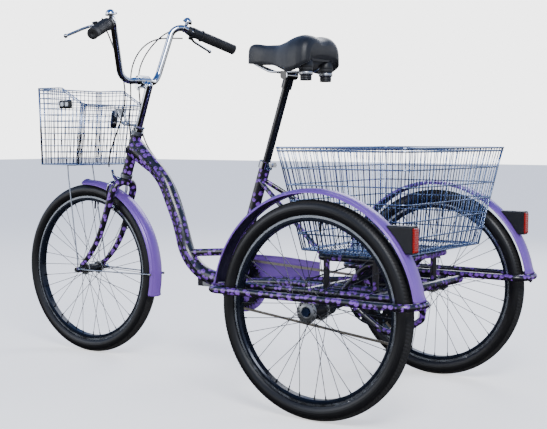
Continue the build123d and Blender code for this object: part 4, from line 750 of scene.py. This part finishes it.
behind = FCROSS + CORNER_POINTS + FLONG + CORNER_POINTS // 2
for corner in (behind, behind + CORNER_POINTS + FCROSS):
    parts += tubes([[ring_top[corner], ring_foot[corner]]], RIM_WIRE * 0.8, (1, 0, 0), 8)
z0 = FRONT_FOOT[3]
fx = np.linspace(FRONT_FOOT[0] + 0.012, FRONT_FOOT[1] - 0.012, FLONG)
fy = np.linspace(-FRONT_FOOT[2] + 0.012, FRONT_FOOT[2] - 0.012, FCROSS)
parts += tubes([[(x, -FRONT_FOOT[2], z0), (x, FRONT_FOOT[2], z0)] for x in fx], WIRE, UP)
parts += tubes([[(FRONT_FOOT[0], y, z0), (FRONT_FOOT[1], y, z0)] for y in fy], WIRE, UP)
front_wires = piece("front_basket_wires", parts, zinc_wire, "steering")
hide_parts("front_basket")
print("front basket:", len(ring_foot), "uprights,", len(front_wires.data.polygons), "faces")

# %% [markdown]
# Small fittings stay on the basket: a black reflector carrier with two grey reflectors on its left wall,
# and a zinc plated plate whose two bolts hold the low back to the headset bracket.

# %% Basket fittings
def plate(name, centre, u, v, size, thick, corner, material, body):
    """Flat plate with rounded corners, its face spanned by the directions u and v."""
    u, v = np.array(u, float), np.array(v, float)
    n = np.cross(u, v)
    half_u, half_v = size[0] / 2 - corner, size[1] / 2 - corner
    a = np.linspace(0, 2 * np.pi, 32, endpoint=False) + np.pi / 32
    x = np.sign(np.cos(a)) * half_u + corner * np.cos(a)
    y = np.sign(np.sin(a)) * half_v + corner * np.sin(a)
    outline = x[:, None] * u + y[:, None] * v
    layers = [(0.0, -1.0), (0.94, -1.0), (1.0, -0.6), (1.0, 0.6), (0.94, 1.0), (0.0, 1.0)]
    rings = np.stack([np.array(centre) + outline * max(s, 0.001) + n * h * thick / 2 for s, h in layers])
    return piece(name, [(rings, False)], material, body)


def lean(z):
    """Where the front basket's left wall is at height z."""
    return level(FRONT_FOOT, FRONT_TOP, z)[2]


REFLECTOR_X, REFLECTOR_Z = front_low.x + 0.090, 0.884
wall_y = lean(REFLECTOR_Z) + 0.006
carrier = plate("basket_reflector_carrier", (REFLECTOR_X, wall_y, REFLECTOR_Z), (1, 0, 0), (0, 0.03, 1),
                (0.057, 0.027), 0.009, 0.005, plastic, "steering")
for number, offset in enumerate((-0.010, 0.012)):
    mark = plate(f"basket_reflector_{number}", (REFLECTOR_X + offset, wall_y + 0.005, REFLECTOR_Z), (1, 0, 0),
                 (0, 0.03, 1), (0.014, 0.014), 0.003, 0.003, grey_lens, "steering")
PLATE_Z, PLATE_LEAN = 0.835, 0.16
BOLT_HEAD = [(0.0001, 0), (0.0055, 0), (0.0055, 0.003), (0.003, 0.0048), (0.0001, 0.0048)]
back_x = level(FRONT_FOOT, FRONT_TOP, PLATE_Z)[0]
strap = plate("basket_bracket_plate", (back_x - 0.004, 0.0, PLATE_Z), (0, 1, 0), (-PLATE_LEAN, 0, 1),
              (0.034, 0.062), 0.003, 0.012, zinc_wire, "steering")
for number, rise in enumerate((-0.014, 0.014)):
    head = turned(BOLT_HEAD, (back_x - 0.0052 - PLATE_LEAN * rise, 0.0, PLATE_Z + rise),
                  (-1, 0, -PLATE_LEAN), 20)
    bolt = piece(f"basket_bracket_bolt_{number}", [(head, False)], dark_steel, "steering")
print("basket fittings done")

# %% [markdown]
# ## Grips
# Soft grips are moulded tubes with a collar on the inner end, fine rings under the fingers and a domed
# end with a small vent. The radius along the axis is one profile: a plain wall, a wave of shallow rings
# in the middle and a rolled collar. Both hands use the same profile, mirrored.

# %% Grips
GRIP_R, GRIP_LONG = 0.0178, 0.1385
ORIGIN = LEFT_HUB * (1, 0, 0)
BAR_BEND, BAR_END = np.array((0.889, 0.205, 1.146)), np.array((0.823, 0.359, 1.092))


def grip_profile():
    """Radius and distance along the bar: collar, ringed wall, domed end with a vent."""
    x = np.linspace(0, 1, 240)
    rings = 0.0005 * np.clip(np.sin(x * 2 * np.pi * 21), -0.4, 1) * ((x > 0.12) & (x < 0.86))
    collar = 0.0030 * np.exp(-((x - 0.02) / 0.02) ** 4)
    body = np.stack([GRIP_R + rings + collar, x * GRIP_LONG], -1)
    dome = [(GRIP_R + 0.0008, GRIP_LONG + 0.001), (GRIP_R, GRIP_LONG + 0.0035),
            (GRIP_R - 0.003, GRIP_LONG + 0.0048), (0.0035, GRIP_LONG + 0.0052),
            (0.0030, GRIP_LONG + 0.0030), (0.0004, GRIP_LONG + 0.0028)]
    return np.vstack([[(0.0113, 0.0)], body, dome])


along_bar = (BAR_END - BAR_BEND) / np.linalg.norm(BAR_END - BAR_BEND)
grip_parts = []
for mirror in ((1, 1, 1), (1, -1, 1)):
    start = ORIGIN + (BAR_BEND + along_bar * 0.0402) * mirror
    grip_parts.append((turned(grip_profile(), start, along_bar * mirror, 48), False))
rubber = piece("ringed_grips", grip_parts, grip_rubber, "steering", merge=True)
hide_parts("grips")
print("grips:", len(rubber.data.polygons), "faces")

# %% [markdown]
# ## Saddle
# The wide saddle is one moulded foam body under vinyl: a blunt nose with deep sides, a shallow dip, and
# two round lobes at the back with a groove between them. Its side skirt hangs lowest at the widest point.
# Four curves along its length give the half width, the top, the lower edge and the height of the lobes.
# Every cross-section is then a superellipse, flat on top and round at the shoulder.

# %% Saddle padding
pad_low, pad_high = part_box("saddle_pad")
SHARE = np.array([0.0, 0.02, 0.06, 0.12, 0.28, 0.48, 0.62, 0.74, 0.86, 0.94, 0.985, 1.0])
HALF_WIDE = np.array([0.012, 0.021, 0.027, 0.031, 0.039, 0.058, 0.083, 0.101, 0.1075, 0.1045, 0.094, 0.081])
TOP_Z = np.array([1.052, 1.060, 1.0665, 1.068, 1.0605, 1.0585, 1.0655, 1.0755, 1.079, 1.0745, 1.065, 1.052])
EDGE_Z = np.array([1.008, 1.006, 1.004, 1.003, 1.002, 0.993, 0.980, 0.969, 0.975, 0.988, 0.996, 1.001])


def saddle_surface(stations=120, across=72):
    """Cross-sections from nose to tail.

    Half of a section runs y = w cos(t)^0.45 and z = edge + (top - edge) sin(t)^0.62, then folds under.
    Lobes add height as a bell 50 mm off the middle, and a narrower bell takes it away on the middle.
    Each of the curves along the saddle is smoothed by the mean of seven neighbours."""
    fine = (1 - np.cos(np.linspace(0, np.pi, stations))) / 2
    padded = [np.pad(np.interp(fine, SHARE, values), 3, mode="edge") for values in (HALF_WIDE, TOP_Z, EDGE_Z)]
    w, top, edge = [np.convolve(values, np.ones(7) / 7, "valid") for values in padded]
    x = pad_high.x - fine * (pad_high.x - pad_low.x)
    t = np.linspace(0, np.pi, across)
    side = np.sign(np.cos(t)) * np.abs(np.cos(t)) ** 0.45
    rise = np.sin(t) ** 0.62
    y = w[:, None] * side
    z = edge[:, None] + (top - edge)[:, None] * rise
    lobes = np.clip((fine - 0.52) / 0.30, 0, 1)[:, None] ** 1.5
    z += lobes * rise * (0.0045 * np.exp(-((np.abs(y) - 0.050) / 0.030) ** 2)
                         - 0.011 * np.exp(-(y / 0.014) ** 2))
    z -= 0.0035 * np.exp(-(y / 0.012) ** 2) * rise * (1 - lobes)
    under_y = np.linspace(-0.94, 0.94, 20)
    under = np.stack([np.repeat(x[:, None], 20, 1), w[:, None] * under_y,
                      edge[:, None] + 0.010 + 0.012 * (1 - under_y ** 2)], -1)
    upper = np.stack([np.repeat(x[:, None], across, 1), y, z], -1)
    lip = np.stack([x, w * 0.965, edge - 0.001], -1)[:, None]
    other = lip * (1, -1, 1)
    return np.concatenate([lip, upper, other, under], 1)


cover = piece("saddle_cover", [(saddle_surface(), False)], vinyl, "seat", merge=True)
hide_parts("saddle_pad")
print("saddle:", len(cover.data.polygons), "faces")

# %% [markdown]
# Under the rear lobes stand two rubber suspension blocks: a bell-shaped boot, a bright ring that clamps
# it, and a ribbed cup below. They are turned parts. The hidden pan above them stays as the CAD made it.

# %% Suspension blocks
BLOCK_X, BLOCK_Y = 0.233, 0.056
BOOT = [(0.0190, 1.008), (0.0205, 1.000), (0.0222, 0.992), (0.0232, 0.986), (0.0225, 0.983), (0.0215, 0.980),
        (0.0221, 0.977), (0.0212, 0.973), (0.0205, 0.9705)]
RING = [(0.0150, 0.9705), (0.0212, 0.9703), (0.0216, 0.9690), (0.0216, 0.9625), (0.0210, 0.9605),
        (0.0150, 0.9603)]
CUP = [(0.0150, 0.9603), (0.0178, 0.9600), (0.0180, 0.9570), (0.0172, 0.9562), (0.0180, 0.9552),
       (0.0180, 0.9512), (0.0172, 0.9502), (0.0180, 0.9492), (0.0176, 0.9442), (0.0150, 0.9434),
       (0.0004, 0.9434)]
for name, profile, material, finish in (("boots", BOOT, plastic, "black_plastic"),
                                        ("rings", RING, alloy, "alloy"),
                                        ("cups", CUP, plastic, "black_plastic")):
    centres = [ORIGIN + (BLOCK_X, side * BLOCK_Y, 0.0) for side in (1, -1)]
    made = piece(f"saddle_block_{name}", [(turned(profile, c, (0, 0, 1), 40), False) for c in centres],
                 material, "seat")
print("suspension blocks done")

# %% [markdown]
# The saddle's rails and their clamp are one CAD node, but only the thin rails are plated; the clamp is
# black. Faces near the seat post or near the clamp's cross bar take the black finish.

# %% Saddle clamp finish
rails = nodes["saddle_rails"]
rails.data.materials.append(black_enamel)
post_low, post_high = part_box("seat_post")
centres = np.array([p.center for p in rails.data.polygons])
clamp = (centres[:, 2] < post_high.z + 0.003) | (
    (np.abs(centres[:, 0] - post_low.x - 0.013) < 0.016) & (np.abs(centres[:, 1]) < 0.033)
    & (centres[:, 2] < post_high.z + 0.030))
rails.data.polygons.foreach_set("material_index", clamp.astype(np.int32))
print("clamp faces:", int(clamp.sum()), "of", len(clamp))

# %% [markdown]
# ## Hub discs
# On the outside of each rear hub the spoke flange is a pressed and zinc plated disc with a ring of holes.
# A slightly raised step runs round the axle nut. The holes are only 4 mm wide, so small dark buttons
# stand for them, which costs far fewer faces than cutting the disc.

# %% Hub discs
DISC = [(0.0125, 0.0366), (0.0128, 0.0382), (0.0150, 0.0386), (0.0185, 0.0384), (0.0200, 0.0373),
        (0.0300, 0.0371), (0.0313, 0.0367), (0.0314, 0.0360), (0.0125, 0.0360)]
for side, body, out in (("left", "left_wheel", 1), ("right", "drive_wheel", -1)):
    hub = HUBS[side]
    disc = piece(f"{side}_hub_disc", [(turned(DISC, hub, (0, out, 0), 64), True)], pressed_steel, body)
    eyes = []
    for k in range(9):
        a = 2 * np.pi * k / 9
        at = hub + np.array((0.0250 * np.cos(a), out * 0.0369, 0.0250 * np.sin(a)))
        eyes.append((turned([(0.0001, 0.0004), (0.0017, 0.0004), (0.0020, 0.0)], at, (0, out, 0), 12), False))
    holes = piece(f"{side}_hub_holes", eyes, black_enamel, body)
print("hub discs done")

# %% [markdown]
# ## Control cables
# Each cable is one smooth curve through a few guide points. A uniform cubic B-spline does that: every
# point of it is a weighted mean of four neighbours. The front brake's cable turns with the handlebar. The
# rear brake's cable and the shifter's run from the bar, round the head tube and down the frame, as one
# piece that rides on no body.

# %% Cables
CABLE_R = 0.0025
FRONT_BRAKE = [(931, 205, 1158), (962, 170, 1152), (974, 128, 1112), (976, 92, 1052), (975, 62, 990),
               (980, 40, 925), (996, 32, 866), (1018, 34, 806), (1044, 40, 748), (1060, 42, 696),
               (1061, 40, 668)]
REAR_BRAKE = [(931, -205, 1158), (966, -168, 1150), (980, -118, 1112), (984, -66, 1062), (982, -26, 1004),
              (976, -22, 944), (972, -24, 890), (973, -29, 840), (972, -31, 790), (950, -34, 738),
              (900, -33, 690),
              (846, -31, 642), (806, -30, 580), (776, -29, 505), (754, -29, 438), (738, -30, 384),
              (700, -31, 330), (640, -31, 290), (560, -27, 262), (470, -18, 268), (380, -2, 290),
              (290, 22, 312), (210, 36, 344), (140, 46, 366), (80, 56, 386), (20, 70, 406), (-34, 77, 410)]
SHIFT = [(921, -196, 1124), (952, -172, 1124), (984, -130, 1122), (997, -80, 1098), (996, -30, 1056),
         (990, 4, 1000), (982, 14, 944), (976, 18, 894), (977, 26, 848), (974, 31, 790), (950, 33, 740),
         (900, 32, 692), (848, 30, 646), (810, 29, 588), (782, 28, 520), (760, 28, 450), (742, 29, 392),
         (704, 30, 338), (644, 29, 298), (560, 25, 262), (470, 10, 262), (390, -14, 262), (300, -40, 258),
         (210, -66, 252), (120, -84, 240), (50, -94, 228), (0, -97, 222), (-34, -96, 230), (-50, -88, 250)]


def spline(points, steps=10):
    """Uniform cubic B-spline through guide points given in millimetres from the rear axle.

    The first and last points are repeated so that the curve starts and ends there."""
    p = np.array([points[0]] * 2 + list(points) + [points[-1]] * 2, float) / 1000
    t = np.linspace(0, 1, steps, endpoint=False)[:, None]
    weights = [(1 - t) ** 3, 3 * t ** 3 - 6 * t ** 2 + 4, -3 * t ** 3 + 3 * t ** 2 + 3 * t + 1, t ** 3]
    runs = [sum(w * q for w, q in zip(weights, p[i:i + 4])) / 6 for i in range(len(p) - 3)]
    curve = np.concatenate(runs)
    keep = np.linalg.norm(np.diff(curve, axis=0), axis=1) > 1e-4
    return ORIGIN + curve[:-1][keep]


def swept(path, radius, sides=10):
    """Rings along one curve, without twist: each ring's first direction is the last one's, made square."""
    t = np.gradient(path, axis=0)
    t /= np.linalg.norm(t, axis=1, keepdims=True)
    u = np.cross(t[0], (0.3, 0.9, 0.2))
    a = np.linspace(0, 2 * np.pi, sides, endpoint=False)[:, None]
    rings = []
    for centre, along in zip(path, t):
        u = u - along * np.dot(u, along)
        u /= np.linalg.norm(u)
        v = np.cross(along, u)
        rings.append(centre + radius * (np.cos(a) * u + np.sin(a) * v))
    return np.array(rings)


front_route = spline(FRONT_BRAKE)
front_cable = piece("front_brake_cable", [(swept(front_route, CABLE_R), False)], cable_cover, "steering")
rear_cables = piece("rear_brake_and_shift_cables",
                    [(swept(spline(p), CABLE_R), False) for p in (REAR_BRAKE, SHIFT)], cable_cover, None)
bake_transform(rear_cables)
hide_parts("bar_cables")
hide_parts("frame_cables")

TIE_SHARE = 0.43            # how far down the front brake's cable the tie sits
BAND = [(0.0042, -0.0015), (0.0046, 0.0), (0.0042, 0.0015), (0.0034, 0.0015), (0.0034, -0.0015)]
tie_at = front_route[int(len(front_route) * TIE_SHARE)]
tie = piece("cable_tie", [(turned(BAND, tie_at, (0.1, -0.4, -1), 24), True)], plastic, "steering")
print("cables:", len(rear_cables.data.vertices), "points")

# %% [markdown]
# ## Pedals and chain guard
# Each pedal carries an amber reflector on its front and rear edge. The chain guard is pressed from sheet
# with a raised line a little inside its edge, which a narrow rounded bead gives.

# %% Pedal reflectors
for side in ("left", "right"):
    low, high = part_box(f"pedal_{side}")
    middle = (low + high) / 2
    for number, (x, way) in enumerate(((low.x - 0.0012, -1), (high.x + 0.0012, 1))):
        lens = plate(f"pedal_reflector_{side}_{number}", (x, middle.y, middle.z), (0, 1, 0), (0, 0, 1),
                     (0.052, 0.015), 0.0028, 0.003, amber_lens, f"pedal_{side}")

# %% Chain guard bead
guard_low, guard_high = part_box("chain_guard")
GUARD_INSET, GUARD_BEAD_R = 0.011, 0.0016
TAIL_FROM_Z, TAIL_TO_Z = 0.334, 0.379       # the guard's narrow end, behind the sprockets
bottom_bracket = pivot["crank_spin"]
round_r = guard_high.x - bottom_bracket[0] - GUARD_INSET
turn = np.radians(np.linspace(100, -160, 60))
bead = [(bottom_bracket[0] + round_r * np.cos(a), bottom_bracket[2] + round_r * np.sin(a)) for a in turn]
tail_x, tail_low, tail_high = guard_low.x + GUARD_INSET, TAIL_FROM_Z + GUARD_INSET, TAIL_TO_Z - GUARD_INSET
bead += [(tail_x + 0.004, tail_low), (tail_x, tail_low + 0.004), (tail_x, tail_high - 0.004),
         (tail_x + 0.004, tail_high)]
bead = np.array(bead)
path = np.stack([bead[:, 0], np.full(len(bead), guard_low.y), bead[:, 1]], -1)
line = piece("chain_guard_bead", tubes([path], GUARD_BEAD_R, (0, 1, 0), 8, closed=True), lilac, "frame")
print("chain guard spans", [round(v * 1000) for v in (guard_low.x, guard_high.x, guard_low.z, guard_high.z)])

# %% [markdown]
# ## End
# The dressed model must stay within the CAD's box.

# %% End
print("done")
